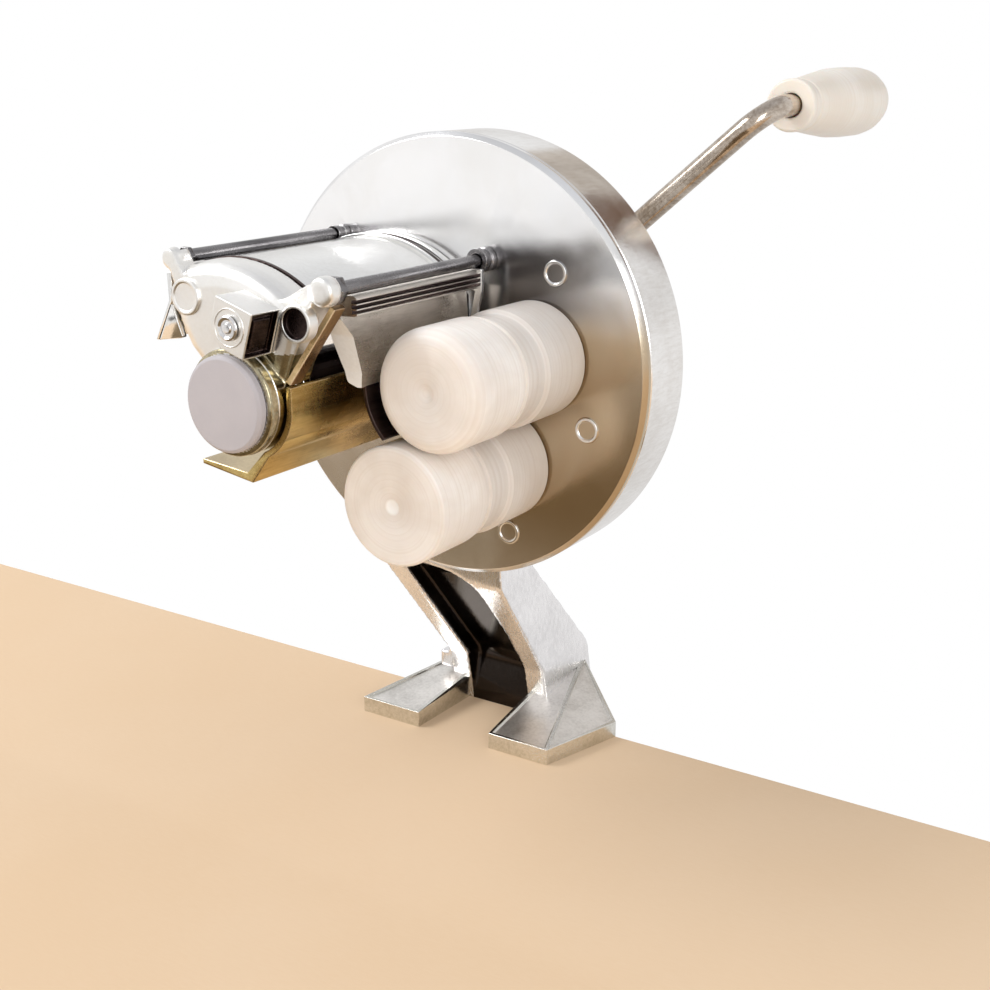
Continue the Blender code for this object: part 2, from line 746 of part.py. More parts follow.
def build_cover():
    """The round back cover, with the rear bearing neck and two cups for the roller shafts."""
    neck_end = COVER_BACK + NECK_LENGTH
    lip = COVER_RADIUS - COVER_LIP
    neck = [
        (0, neck_end),
        (NECK_TIP_RADIUS, neck_end),
        (NECK_TIP_RADIUS, neck_end - NECK_TIP_LENGTH),
        (NECK_ROOT_RADIUS, COVER_BACK - COVER_LIP),
        (0, COVER_BACK - COVER_LIP),
    ]
    disc = [
        (0, COVER_BACK),
        (lip, COVER_BACK),
        (COVER_RADIUS, COVER_BACK - COVER_LIP),
        (COVER_RADIUS, COVER_FRONT),
        (0, COVER_FRONT),
    ]
    cover = turned("cover_disc", disc, DRUM, steps=DRUM_STEPS)
    near = COVER_FRONT - OVERRUN
    cup_end = COVER_BACK + ROLLER_CUP_HEIGHT
    cup_root = COVER_FRONT + COVER_LIP
    seat = cup_end - COVER_THICKNESS / 2
    raised = [turned("cover_neck", neck, SHAFT)]
    holes = []
    for key, (place, bush_radius) in bearing_places().items():
        hole_end = neck_end + OVERRUN if key == "main" else seat
        holes.append(rod("bore", bush_radius + GAP, near, hole_end, place))
        if key != "main":
            raised.append(rod("cup", ROLLER_CUP_RADIUS, cup_root, cup_end, place, steps=ROUND_STEPS))
    for angle in COVER_SCREW_ANGLES:
        place = polar(DRUM, COVER_SCREW_ORBIT, angle)
        holes.append(rod("screw_hole", COVER_SCREW_RADIUS + GAP, near, COVER_BACK + OVERRUN, place))
    join(cover, gathered("neck_and_cups", raised))
    combine(cover, gathered("cover_holes", holes))
    part(cover, "back_cover", POLISHED)
    for index, angle in enumerate(COVER_SCREW_ANGLES):
        place = polar(DRUM, COVER_SCREW_ORBIT, angle)
        seat = COVER_BACK + GAP
        head = seat + COVER_SCREW_HEAD_HEIGHT
        tip = HOUSING_BACK - COVER_SCREW_LENGTH + GAP
        profile = [
            (0, head),
            (COVER_SCREW_HEAD - COVER_SCREW_CHAMFER, head),
            (COVER_SCREW_HEAD, head - COVER_SCREW_CHAMFER),
            (COVER_SCREW_HEAD, seat),
            (COVER_SCREW_RADIUS, seat),
            (COVER_SCREW_RADIUS, tip),
            (0, tip),
        ]
        screw = turned("screw", profile, place, steps=SMALL_STEPS)
        part(screw, f"cover_screw_{index + 1}", STEEL)


def gear(name, teeth, centre_distance_radius, near, centre, bore, first_tooth, finish):
    """A spur gear. The first tooth points at the given angle."""
    pitch = centre_distance_radius
    module = 2 * pitch / teeth
    root = pitch - DEDENDUM_SHARE * module
    tip = pitch + ADDENDUM_SHARE * module
    step = 360.0 / teeth
    outline = []
    for tooth in range(teeth):
        middle = first_tooth + tooth * step
        outline.append(polar(ORIGIN, root, middle - step * ROOT_SHARE / 2))
        outline.append(polar(ORIGIN, tip, middle - step * TIP_SHARE / 2))
        outline.append(polar(ORIGIN, tip, middle + step * TIP_SHARE / 2))
        outline.append(polar(ORIGIN, root, middle + step * ROOT_SHARE / 2))
    bore_radius = bore + GAP
    hole = arc(ORIGIN, bore_radius, 0, 360, SMALL_STEPS)[:-1]
    return part(plate(name, outline, near, near + GEAR_WIDTH, centre, holes=(hole,)), name, finish)


def build_gears():
    """The roller shafts' gears mesh with each other, and the main gear drives the top shaft's pinion."""
    floor = HOUSING_FRONT + HOUSING_WALL
    near = floor + BOSS_HEIGHT + GAP
    main_near = near + GEAR_WIDTH + GAP
    ratio = PINION_TEETH / (PINION_TEETH + MAIN_TEETH)
    pinion_pitch = ROLLER_ORBIT * ratio
    main_pitch = ROLLER_ORBIT - pinion_pitch
    towards_top = ROLLER_ANGLES[0]
    gear("main_gear", MAIN_TEETH, main_pitch, main_near, SHAFT, SHAFT_RADIUS, towards_top, STEEL)
    half_pinion = 180.0 / PINION_TEETH
    pinion_turn = towards_top + 180.0 + half_pinion
    gear("top_pinion", PINION_TEETH, pinion_pitch, main_near, TOP_ROLLER, ROLLER_SHAFT_RADIUS, pinion_turn, STEEL)
    across = (BOTTOM_ROLLER[0] - TOP_ROLLER[0], BOTTOM_ROLLER[1] - TOP_ROLLER[1])
    spread = math.hypot(*across)
    down = math.degrees(math.atan2(across[1], across[0]))
    half_tooth = 180.0 / ROLLER_TEETH
    gear("top_gear", ROLLER_TEETH, spread / 2, near, TOP_ROLLER, ROLLER_SHAFT_RADIUS, down, STEEL)
    turn = down + 180.0 + half_tooth
    gear("bottom_gear", ROLLER_TEETH, spread / 2, near, BOTTOM_ROLLER, ROLLER_SHAFT_RADIUS, turn, STEEL)
    spacer_near = near + GEAR_WIDTH + GAP
    bore = ROLLER_SHAFT_RADIUS + GAP
    spacer_far = COVER_FRONT - GAP
    spacer = tube("spacer", bore + ROLLER_BUSH_WALL, bore, spacer_near, spacer_far, BOTTOM_ROLLER)
    part(spacer, "bottom_spacer", STEEL)


def build_shafts():
    """The main shaft, the two roller shafts and their bushes."""
    nose_start = HOUSING_FRONT - BOSS_HEIGHT
    nose_end = BEARING_END + NOSE_WALL + GAP
    tail = HUB_BACK + CRANK_NUT_HEIGHT + SHAFT_TAIL
    profile = [
        (0, tail),
        (SHAFT_TAIL_RADIUS, tail),
        (SHAFT_TAIL_RADIUS, HUB_BACK),
        (SHAFT_RADIUS, HUB_BACK),
        (SHAFT_RADIUS, nose_start),
        (SHAFT_NOSE_RADIUS, nose_start),
        (SHAFT_NOSE_RADIUS, nose_end),
        (0, nose_end),
    ]
    part(turned("shaft", profile, SHAFT, steps=ROUND_STEPS), "main_shaft", STEEL)
    floor = HOUSING_FRONT + HOUSING_WALL
    places = bearing_places()
    for key, (place, outer) in places.items():
        shaft = SHAFT_RADIUS if key == "main" else ROLLER_SHAFT_RADIUS
        front = tube("bush", outer, shaft + RUNNING_GAP, HOUSING_FRONT, floor + BOSS_HEIGHT, place)
        part(front, key + "_bush_front", BRONZE)
        if key == "main":
            near = COVER_BACK + NECK_LENGTH - NECK_BUSH_LENGTH
            far = COVER_BACK + NECK_LENGTH
        else:
            near = COVER_FRONT
            far = COVER_BACK + ROLLER_CUP_HEIGHT - COVER_THICKNESS / 2 - GAP
        rear = tube("bush", outer, shaft + RUNNING_GAP, near, far, place)
        part(rear, key + "_bush_rear", BRONZE)
    roller_end = HOUSING_FRONT - ROLLER_SETBACK - ROLLER_SHAFT_REACH
    shaft_far = COVER_BACK + ROLLER_CUP_HEIGHT - COVER_THICKNESS
    for key, place in (("top", TOP_ROLLER), ("bottom", BOTTOM_ROLLER)):
        part(rod("shaft", ROLLER_SHAFT_RADIUS, roller_end, shaft_far, place), key + "_shaft", STEEL)


def roller_profile(nose):
    """A roller's section: two barrels with a waist between them, and a bore from the back."""
    back = HOUSING_FRONT - ROLLER_SETBACK
    front = back - ROLLER_LENGTH
    bore = ROLLER_SHAFT_RADIUS + GAP
    seat = back - ROLLER_SHAFT_REACH - GAP
    nose_centre = (ROLLER_RADIUS - nose, front + nose)
    return [
        (0, seat),
        (bore, seat),
        (bore, back),
        (ROLLER_RADIUS - ROLLER_SLOPE / 2, back),
        (ROLLER_RADIUS, back - ROLLER_SLOPE / 2),
        (ROLLER_RADIUS, back - ROLLER_WAIST_START),
        (ROLLER_WAIST_RADIUS, back - ROLLER_WAIST_START - ROLLER_SLOPE),
        (ROLLER_WAIST_RADIUS, back - ROLLER_WAIST_END + ROLLER_SLOPE),
        (ROLLER_RADIUS, back - ROLLER_WAIST_END),
        *arc(nose_centre, nose, 0, -90, 4),
        (DIMPLE_RADIUS, front),
        (0, front + DIMPLE_DEPTH),
    ]


def build_rollers():
    """The two pale feed rollers."""
    for key, place, nose in zip(("top", "bottom"), (TOP_ROLLER, BOTTOM_ROLLER), ROLLER_NOSES):
        part(turned("roller", roller_profile(nose), place), key + "_roller", IVORY)


def build_vault():
    """The arched cover over the cutter."""
    centre = shifted(DRUM, VAULT_CENTRE)
    start, end = VAULT_ANGLES
    outer = arc(centre, VAULT_RADIUS, start, end, 20)
    inner = arc(centre, VAULT_RADIUS - VAULT_WALL, end, start, 20)
    vault = plate("vault", outer + inner, HEAD_END + GAP, HOUSING_FRONT - GAP)
    part(vault, "vault_cover", POLISHED)


def build_wall():
    """The wall beside the top roller, with the grooved rail and a lip that follows the roller."""
    rise = HOUSING_HEIGHT
    groove = (RAIL_TOP + RAIL_BOTTOM) / 2
    lip_inner = ROLLER_RADIUS + LIP_CLEARANCE
    lip_outer = lip_inner + LIP_THICKNESS
    lip_top, lip_root, lip_end = LIP_ANGLES
    outline = [
        (RAIL_INNER_X, rise + RAIL_TOP),
        (RAIL_OUTER_X, rise + RAIL_TOP),
        (RAIL_OUTER_X, rise + groove + RAIL_GROOVE),
        (RAIL_OUTER_X - 2 * RAIL_GROOVE, rise + groove),
        (RAIL_OUTER_X, rise + groove - RAIL_GROOVE),
        (RAIL_OUTER_X, rise + RAIL_BOTTOM),
        (WALL_OUTER_X, rise + RAIL_BOTTOM),
        *arc(TOP_ROLLER, lip_inner, lip_top, lip_end, 10),
        *arc(TOP_ROLLER, lip_outer, lip_end, lip_root, 6),
        shifted(polar(TOP_ROLLER, lip_outer, lip_root), (-WALL_TOE, 0)),
        *[shifted(DRUM, point) for point in WALL_INNER_SIDE],
        (RAIL_INNER_X, rise + RAIL_BOTTOM),
    ]
    wall = plate("wall", outline, TROUGH_END + STRAP_WIDTH + WALL_END_CLEARANCE, HOUSING_FRONT - WALL_SETBACK)
    part(wall, "side_wall", POLISHED)


def trough_outline():
    """The trough's front view: a wall beside the cutter, an arc under it and a floor to the left."""
    rise = HOUSING_HEIGHT
    corner = shifted(DRUM, TROUGH_CORNER)
    tip = shifted(DRUM, TROUGH_TIP)
    start = math.degrees(math.acos((TROUGH_TOP_X - SHAFT_X) / TROUGH_ARC_RADIUS))
    inner_radius = TROUGH_ARC_RADIUS - TROUGH_WALL
    inner_x = TROUGH_TOP_X - TROUGH_WALL
    inner_start = math.degrees(math.acos((inner_x - SHAFT_X) / inner_radius))
    return [
        (TROUGH_TOP_X, rise + TROUGH_TOP_RISE),
        *arc(SHAFT, TROUGH_ARC_RADIUS, -start, TROUGH_ARC_END, 8),
        corner,
        tip,
        shifted(tip, (0, TROUGH_WALL)),
        shifted(corner, (-TROUGH_WALL, TROUGH_WALL * 3 / 2)),
        *arc(SHAFT, inner_radius, TROUGH_ARC_END - TROUGH_INNER_LAG, -inner_start, 8),
        (inner_x, rise + TROUGH_TOP_RISE),
    ]


def build_trough():
    """The forming trough, with a feed window on the rollers' side."""
    trough = plate("trough", trough_outline(), TROUGH_END, HOUSING_FRONT - GAP)
    low = (SHAFT_X / 2, HOUSING_FRONT - WINDOW_FAR, HOUSING_HEIGHT + WINDOW_LOW)
    high = (TROUGH_TOP_X + OVERRUN, HOUSING_FRONT - WINDOW_NEAR, HOUSING_HEIGHT + WINDOW_HIGH)
    combine(trough, box("feed_window", low, high))
    part(trough, "forming_trough", POLISHED)


def bracket_outline():
    """The end bracket's front view: two ears, the arch between them and sides down to the bearing."""
    left = shifted(DRUM, LEFT_ROD)
    right = shifted(DRUM, RIGHT_ROD)
    centre = shifted(DRUM, VAULT_CENTRE)
    start, end = VAULT_ANGLES
    low = SHAFT[1] - BRACKET_DROP
    return [
        *[shifted(DRUM, point) for point in reversed(BRACKET_LEFT_SIDE)],
        *arc(left, LEFT_EAR_RADIUS, *LEFT_EAR_ARC, 8),
        *arc(centre, VAULT_RADIUS, start - BRACKET_ARC_INSET, end + BRACKET_ARC_INSET, 12),
        *arc(right, RIGHT_EAR_RADIUS, *RIGHT_EAR_ARC, 10),
        *[shifted(DRUM, point) for point in BRACKET_RIGHT_SIDE],
        (SHAFT[0] + BRACKET_WAIST, low),
        (SHAFT[0] - BRACKET_WAIST, low),
    ]


def build_bracket():
    """The end bracket, its bearing boss and what is bolted to it."""
    bracket = plate("bracket", bracket_outline(), BRACKET_END, HEAD_END)
    rounded(bracket, BRACKET_ROUND / 2, segments=2, angle=60.0)
    join(bracket, rod("bearing_boss", BEARING_RADIUS, BEARING_END, HEAD_END - GAP, SHAFT, steps=ROUND_STEPS))
    holes = [rod("nose_bore", SHAFT_NOSE_RADIUS + RUNNING_GAP, BEARING_END + NOSE_WALL, HEAD_END + OVERRUN, SHAFT)]
    hole = ROD_RADIUS + ROD_HOLE_GAP
    far = HEAD_END + OVERRUN
    reliefs = []
    for side, (place, radius) in enumerate(((LEFT_ROD, LEFT_EAR_RADIUS), (RIGHT_ROD, RIGHT_EAR_RADIUS))):
        spot = shifted(DRUM, place)
        relief = radius + EAR_RELIEF
        ear_near = BRACKET_END + EAR_SETBACKS[side]
        holes.append(rod("ear_hole", hole, ear_near + ROD_SKIN, far, spot))
        reliefs.append(rod("ear_back", relief, ear_near + EAR_THICKNESS, far, spot, steps=ROUND_STEPS))
        if EAR_SETBACKS[side] > 0:
            reliefs.append(rod("ear_front", relief, BRACKET_END - OVERRUN, ear_near, spot, steps=ROUND_STEPS))
    combine(bracket, gathered("ear_reliefs", reliefs))
    combine(bracket, gathered("bracket_holes", holes))
    part(bracket, "end_bracket", POLISHED)
    cap = [
        (0, BEARING_END - GAP),
        (CAP_RADIUS, BEARING_END - GAP),
        (CAP_RADIUS, BEARING_END - CAP_THICKNESS + CAP_CHAMFER),
        (CAP_RADIUS - CAP_CHAMFER, BEARING_END - CAP_THICKNESS),
        (0, BEARING_END - CAP_THICKNESS),
    ]
    part(turned("cap", cap, SHAFT, steps=ROUND_STEPS), "bearing_cap", GREY_CAP)
    half = BLOCK_SIZE / 2
    square = [(-half, half), (half, half), (half, -half)]
    square += [(-half + BLOCK_CHAMFER, -half), (-half, -half + BLOCK_CHAMFER)]
    tilt = Matrix.Rotation(math.radians(BLOCK_TILT), 2)
    outline = [tuple(tilt @ Vector(corner)) for corner in square]
    block_far = BRACKET_END - GAP
    block_near = block_far - BLOCK_LENGTH
    spot = shifted(DRUM, BLOCK_CENTRE)
    part(plate("block", outline, block_near, block_far, spot), "clamp_block", POLISHED)
    bolt_far = block_near - GAP
    bolt = rod("bolt", BLOCK_BOLT_RADIUS, bolt_far - BLOCK_BOLT_HEIGHT, bolt_far, spot)
    part(bolt, "block_bolt", STEEL)
    for name, place in (("left_bracket_screw", LEFT_BOSS), ("right_bracket_screw", RIGHT_BOSS)):
        far = BRACKET_END - GAP
        near = far - BOSS_THICKNESS
        profile = [
            (0, far),
            (BOSS_RADIUS, far),
            (BOSS_RADIUS, near + BOSS_CHAMFER),
            (BOSS_RADIUS - BOSS_CHAMFER, near),
            (0, near),
        ]
        part(turned("screw", profile, shifted(DRUM, place), steps=SMALL_STEPS), name, POLISHED)


def build_rods():
    """The two tie rods that hold the head against the drum."""
    floor = HOUSING_FRONT + HOUSING_WALL
    for side, (key, offset) in enumerate((("left", LEFT_ROD), ("right", RIGHT_ROD))):
        place = shifted(DRUM, offset)
        ear_near = BRACKET_END + EAR_SETBACKS[side]
        rod_near = ear_near + ROD_SKIN + GAP
        part(rod("rod", ROD_RADIUS, rod_near, floor - GAP, place), key + "_tie_rod", STEEL)
        hole = ROD_RADIUS + GAP
        nut_near = ear_near + EAR_THICKNESS + GAP
        nut = hex_nut("nut", ROD_NUT_RADII[side], hole, nut_near, nut_near + ROD_NUT_HEIGHTS[side], place)
        part(nut, key + "_rod_nut", STEEL)
        collar_far = HOUSING_FRONT - GAP
        collar = tube("collar", ROD_COLLAR_RADII[side], hole, collar_far - ROD_COLLAR_LENGTH, collar_far, place)
        part(collar, key + "_rod_collar", STEEL)


def build_hood():
    """The sheet that hangs under the left rod, over the outlet."""
    top = shifted(DRUM, (LEFT_ROD[0] - HOOD_TOP_INSET, LEFT_ROD[1] - LEFT_EAR_RADIUS - 2 * GAP))
    knee = shifted(DRUM, HOOD_KNEE)
    low = shifted(DRUM, HOOD_LOW)
    back = shifted(DRUM, HOOD_RETURN)
    wall = (HOOD_WALL, 0)
    skirt = [top, knee, low, shifted(low, wall), shifted(knee, wall), shifted(top, wall)]
    near = TROUGH_END + HOOD_END_SETBACK
    hood = plate("hood", skirt, near, HOUSING_FRONT - HOOD_START)
    gusset = [shifted(knee, (HOOD_WALL / 2, 0)), shifted(low, (HOOD_WALL / 2, 0)), back]
    join(hood, plate("gusset", gusset, near, near + HOOD_WALL))
    part(hood, "left_hood", POLISHED)


def build_strap():
    """The flat strap from the right ear down to the top of the trough."""
    ear = shifted(DRUM, RIGHT_ROD)
    foot_spot = (TROUGH_TOP_X - TROUGH_WALL / 2, HOUSING_HEIGHT + TROUGH_TOP_RISE + STRAP_THICKNESS / 2)
    start = polar(ear, RIGHT_EAR_RADIUS + STRAP_EAR_GAP, STRAP_TOP_ANGLE)
    down = math.degrees(math.atan2(foot_spot[1] - start[1], foot_spot[0] - start[0]))
    half = STRAP_THICKNESS / 2
    ends = [
        polar(start, half, down + 90.0),
        polar(foot_spot, half, down + 90.0),
        polar(foot_spot, half, down - 90.0),
        polar(start, half, down - 90.0),
    ]
    strap = plate("strap", ends, TROUGH_END, TROUGH_END + STRAP_WIDTH)
    rise = start[1] - foot_spot[1]
    for vertex in strap.data.vertices:
        vertex.co.y += STRAP_LEAN * (vertex.co.z - foot_spot[1]) / rise
    part(strap, "right_strap", POLISHED)


def build_cutter():
    """The cutter drum and its two blades, on the main shaft."""
    near = HEAD_END + CUTTER_HEAD_GAP
    far = HOUSING_FRONT - CUTTER_DRUM_GAP
    bore = SHAFT_NOSE_RADIUS + GAP
    drum = tube("cutter", CUTTER_RADIUS, bore, near, far, SHAFT, steps=ROUND_STEPS)
    half = BLADE_THICKNESS / 2
    slot_half = half + GAP
    for index, turn in enumerate((0.0, 180.0)):
        spin = Matrix.Rotation(math.radians(turn), 2)
        slot = [(BLADE_SEAT_RADIUS - GAP, -slot_half), (CUTTER_RADIUS + OVERRUN, -slot_half),
                (CUTTER_RADIUS + OVERRUN, slot_half), (BLADE_SEAT_RADIUS - GAP, slot_half)]
        blade = [(BLADE_SEAT_RADIUS, -half), (BLADE_TIP_RADIUS - half, -half), (BLADE_TIP_RADIUS, 0),
                 (BLADE_TIP_RADIUS - half, half), (BLADE_SEAT_RADIUS, half)]
        slot_turned = [tuple(spin @ Vector(corner)) for corner in slot]
        blade_turned = [tuple(spin @ Vector(corner)) for corner in blade]
        combine(drum, plate(f"slot_{index}", slot_turned, near - OVERRUN, far + OVERRUN, SHAFT))
        part(plate("blade", blade_turned, near, far, SHAFT), f"cutter_blade_{index + 1}", STEEL)
    part(drum, "cutter_drum", STEEL)


def build_crank():
    """Hub, nut, bent rod and the turning grip."""
    hub_near = CRANK_PLANE - HUB_LENGTH / 2
    hub = tube("hub", HUB_RADIUS, SHAFT_RADIUS + GAP, hub_near, HUB_BACK, SHAFT, steps=ROUND_STEPS)
    direction = Vector((math.cos(math.radians(CRANK_ANGLE)), 0, math.sin(math.radians(CRANK_ANGLE))))
    centre = Vector((SHAFT[0], CRANK_PLANE, SHAFT[1]))
    outward = Vector((0, 1, 0))
    start = centre + direction * CRANK_ROD_SEAT
    bend_centre = centre + direction * (CRANK_THROW - CRANK_BEND) + outward * CRANK_BEND
    path = [start]
    for i in range(9):
        angle = math.radians(90.0 * i / 8)
        path.append(bend_centre + direction * CRANK_BEND * math.sin(angle) - outward * CRANK_BEND * math.cos(angle))
    pin_end = CRANK_BEND + GRIP_SETBACK + GRIP_LENGTH + 2 * GAP
    path.append(centre + direction * CRANK_THROW + outward * pin_end)
    bar = bent_bar("bar", path, CRANK_ROD_RADIUS)
    socket = bent_bar("socket", [centre, centre + direction * CRANK_BEND * 2], CRANK_ROD_RADIUS + GAP)
    combine(hub, socket)
    part(hub, "crank_hub", STEEL)
    part(with_origin(bar, centre), "crank_rod", POLISHED)
    nut_near = HUB_BACK + GAP
    nut_hole = SHAFT_TAIL_RADIUS + GAP
    nut = hex_nut("nut", CRANK_NUT_RADIUS, nut_hole, nut_near, nut_near + CRANK_NUT_HEIGHT, SHAFT)
    part(nut, "crank_nut", STEEL)
    axis = centre + direction * CRANK_THROW
    spot = (axis.x, axis.z)
    grip_near = CRANK_PLANE + CRANK_BEND + GRIP_SETBACK
    grip_far = grip_near + GRIP_LENGTH
    bore = CRANK_ROD_RADIUS + RUNNING_GAP
    profile = [
        (bore, grip_far),
        (GRIP_NECK_RADIUS, grip_far),
        (GRIP_RADIUS, grip_far - GRIP_SHOULDER),
        (GRIP_RADIUS, grip_far - GRIP_SHOULDER - GRIP_BARREL),
        (GRIP_NECK_RADIUS, grip_near + GRIP_COLLAR),
        (GRIP_NECK_RADIUS, grip_near),
        (bore, grip_near),
    ]
    part(turned("grip", profile, spot, steps=ROUND_STEPS), "crank_grip", IVORY)
    cap_near = CRANK_PLANE + pin_end + GAP
    cap = rod("cap", GRIP_CAP_RADIUS, cap_near, cap_near + GRIP_CAP_HEIGHT, spot)
    part(cap, "grip_end_cap", STEEL)


def build_clamp():
    """Clamp screw, pad and the sliding T-bar with its knobs."""
    spot = (0, CLAMP_Y)
    pad_bottom = PAD_TOP_Z - PAD_THICKNESS
    pad = [
        (0, PAD_TOP_Z),
        (PAD_RADIUS, PAD_TOP_Z),
        (PAD_RADIUS, pad_bottom + PAD_EDGE),
        (PAD_SOCKET_RADIUS + GAP, pad_bottom),
        (SCREW_NECK_RADIUS + GAP, pad_bottom),
        (SCREW_NECK_RADIUS + GAP, pad_bottom + SCREW_NECK_LENGTH),
        (0, pad_bottom + SCREW_NECK_LENGTH),
    ]
    part(turned("pad", pad, spot, "Z", steps=ROUND_STEPS), "clamp_pad", STEEL)
    neck_top = pad_bottom + SCREW_NECK_LENGTH - GAP
    shoulder = pad_bottom - GAP
    thread_end = shoulder - SCREW_REACH + SCREW_HEAD_HEIGHT
    head_end = shoulder - SCREW_REACH
    screw = turned("screw", [
        (0, neck_top),
        (SCREW_NECK_RADIUS, neck_top),
        (SCREW_NECK_RADIUS, shoulder),
        (SCREW_RADIUS, shoulder),
        (SCREW_RADIUS, thread_end),
        (SCREW_HEAD_RADIUS, thread_end),
        (SCREW_HEAD_RADIUS, head_end),
        (0, head_end),
    ], spot, "Z", steps=ROUND_STEPS)
    middle = head_end + SCREW_HEAD_HEIGHT / 2
    bar_spot = (CLAMP_Y, middle)
    half = TBAR_LENGTH / 2
    combine(screw, rod("cross_hole", TBAR_RADIUS + GAP, -half, half, bar_spot, "X"))
    part(screw, "clamp_screw", STEEL)
    part(rod("tbar", TBAR_RADIUS, -half, half, bar_spot, "X"), "clamp_tbar", STEEL)
    for name, near in (("left", -half - GAP - KNOB_LENGTH), ("right", half + GAP)):
        knob = rod("knob", KNOB_RADIUS, near, near + KNOB_LENGTH, bar_spot, "X")
        part(rounded(knob, KNOB_ROUND), name + "_tbar_knob", STEEL)


build_stand()
build_housing()
build_cover()
build_gears()
build_shafts()
build_rollers()
build_vault()
build_wall()
build_trough()
build_bracket()
build_rods()
build_hood()
build_strap()
build_cutter()
build_crank()
build_clamp()
bpy.context.view_layer.update()
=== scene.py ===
"""Looks of the roller press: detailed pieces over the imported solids, materials, stage, light and camera."""
import json
import math

import bmesh
import bpy
from mathutils import Matrix, Vector

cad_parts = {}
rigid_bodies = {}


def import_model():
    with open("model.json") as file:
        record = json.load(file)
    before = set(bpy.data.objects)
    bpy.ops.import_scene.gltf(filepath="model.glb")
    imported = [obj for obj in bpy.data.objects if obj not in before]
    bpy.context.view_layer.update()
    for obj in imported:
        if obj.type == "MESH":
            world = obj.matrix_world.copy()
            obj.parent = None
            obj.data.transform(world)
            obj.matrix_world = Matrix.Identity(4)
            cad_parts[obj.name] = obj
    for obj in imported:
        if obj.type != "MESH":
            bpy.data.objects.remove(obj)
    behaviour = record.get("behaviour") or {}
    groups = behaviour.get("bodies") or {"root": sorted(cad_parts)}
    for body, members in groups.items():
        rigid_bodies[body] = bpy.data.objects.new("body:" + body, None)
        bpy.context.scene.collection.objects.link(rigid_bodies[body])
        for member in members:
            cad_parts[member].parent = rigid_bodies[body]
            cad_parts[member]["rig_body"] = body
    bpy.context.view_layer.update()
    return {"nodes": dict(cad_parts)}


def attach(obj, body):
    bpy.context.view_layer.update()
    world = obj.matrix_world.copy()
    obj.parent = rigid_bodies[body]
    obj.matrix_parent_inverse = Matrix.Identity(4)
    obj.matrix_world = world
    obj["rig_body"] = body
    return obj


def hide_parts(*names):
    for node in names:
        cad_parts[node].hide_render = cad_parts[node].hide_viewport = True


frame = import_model()

# Units, the gap between touching pieces, and the steps round a circle
MM = 0.001
GAP = 0.3 * MM
FINEST = 288
FINE = 160
ROUND = 64
SMALL = 40

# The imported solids' main places and sizes
DRUM = (0.0, 141 * MM)
DRUM_RADIUS = 75 * MM
DRUM_FRONT = -34 * MM
DRUM_BACK = DRUM_FRONT + 25.8 * MM
COVER_BACK = DRUM_BACK + 3.5 * MM
SHAFT = (-14 * MM, 142.5 * MM)
TOP_ROLLER = (34.892 * MM, 145.747 * MM)
BOTTOM_ROLLER = (21.895 * MM, 109.145 * MM)
HEAD_END = -106 * MM
BRACKET_END = -119 * MM
BEARING_END = -125 * MM
BEARING_RADIUS = 16 * MM
LEFT_ROD = (-42.5 * MM, 181.3 * MM)
RIGHT_ROD = (16 * MM, 176.3 * MM)
VAULT = (-24 * MM, 137 * MM)
VAULT_RADIUS = 45 * MM
LIP_RADIUS = 21.4 * MM
CLAMP = (0.0, -22 * MM)
CRANK_PLANE = 41 * MM
CRANK_THROW = 124 * MM
CRANK_TURN = math.radians(40.5)
CRANK_BEND = 13 * MM
GRIP = (80.29 * MM, 223.032 * MM)
BODY = {name: node["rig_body"] for name, node in frame["nodes"].items()}

# Bores, and how far the cuts reach past the drum and into the head
SHAFT_BORE = 8.8 * MM
ROLLER_BORE = 6.4 * MM
ROD_BORE = 2.4 * MM
PAST_DRUM = 60 * MM
INSIDE_HEAD = -100 * MM

# What differs between the tie rods: the ear's radius in mm and its front, then in mm the nut's radius and
# height and the collar's radius. The ears' thickness is in mm too, like all that turned() takes.
RODS = (
    ("left", LEFT_ROD, 3.4, BRACKET_END + 3 * MM, 3.2, 1.6, 2.8),
    ("right", RIGHT_ROD, 4.4, BRACKET_END, 4.2, 3.2, 4.0),
)
EAR_THICKNESS = 5

PIECES = bpy.data.collections.new("pieces")
bpy.context.scene.collection.children.link(PIECES)


# Outlines

def polar(centre, radius, degrees):
    """The point at an angle and a distance from a centre."""
    angle = math.radians(degrees)
    return (centre[0] + radius * math.cos(angle), centre[1] + radius * math.sin(angle))


def arc(centre, radius, start, end, count):
    """Points along a circle, both ends included."""
    return [polar(centre, radius, start + (end - start) * i / count) for i in range(count + 1)]


def mm(*points):
    """Points given in millimetres."""
    return [tuple(value * MM for value in point) for point in points]


def moved(points, offset):
    """Flat points moved by an offset."""
    return [(point[0] + offset[0], point[1] + offset[1]) for point in points]


def spun(points, degrees):
    """Flat points turned about zero."""
    turn = Matrix.Rotation(math.radians(degrees), 2)
    return [turn @ Vector(point) for point in points]


def strip(first, last, half):
    """The outline of a straight strip between two points, from half its width."""
    first, last = Vector(first), Vector(last)
    across = (last - first).normalized().orthogonal() * half
    return [first + across, last + across, last - across, first - across]


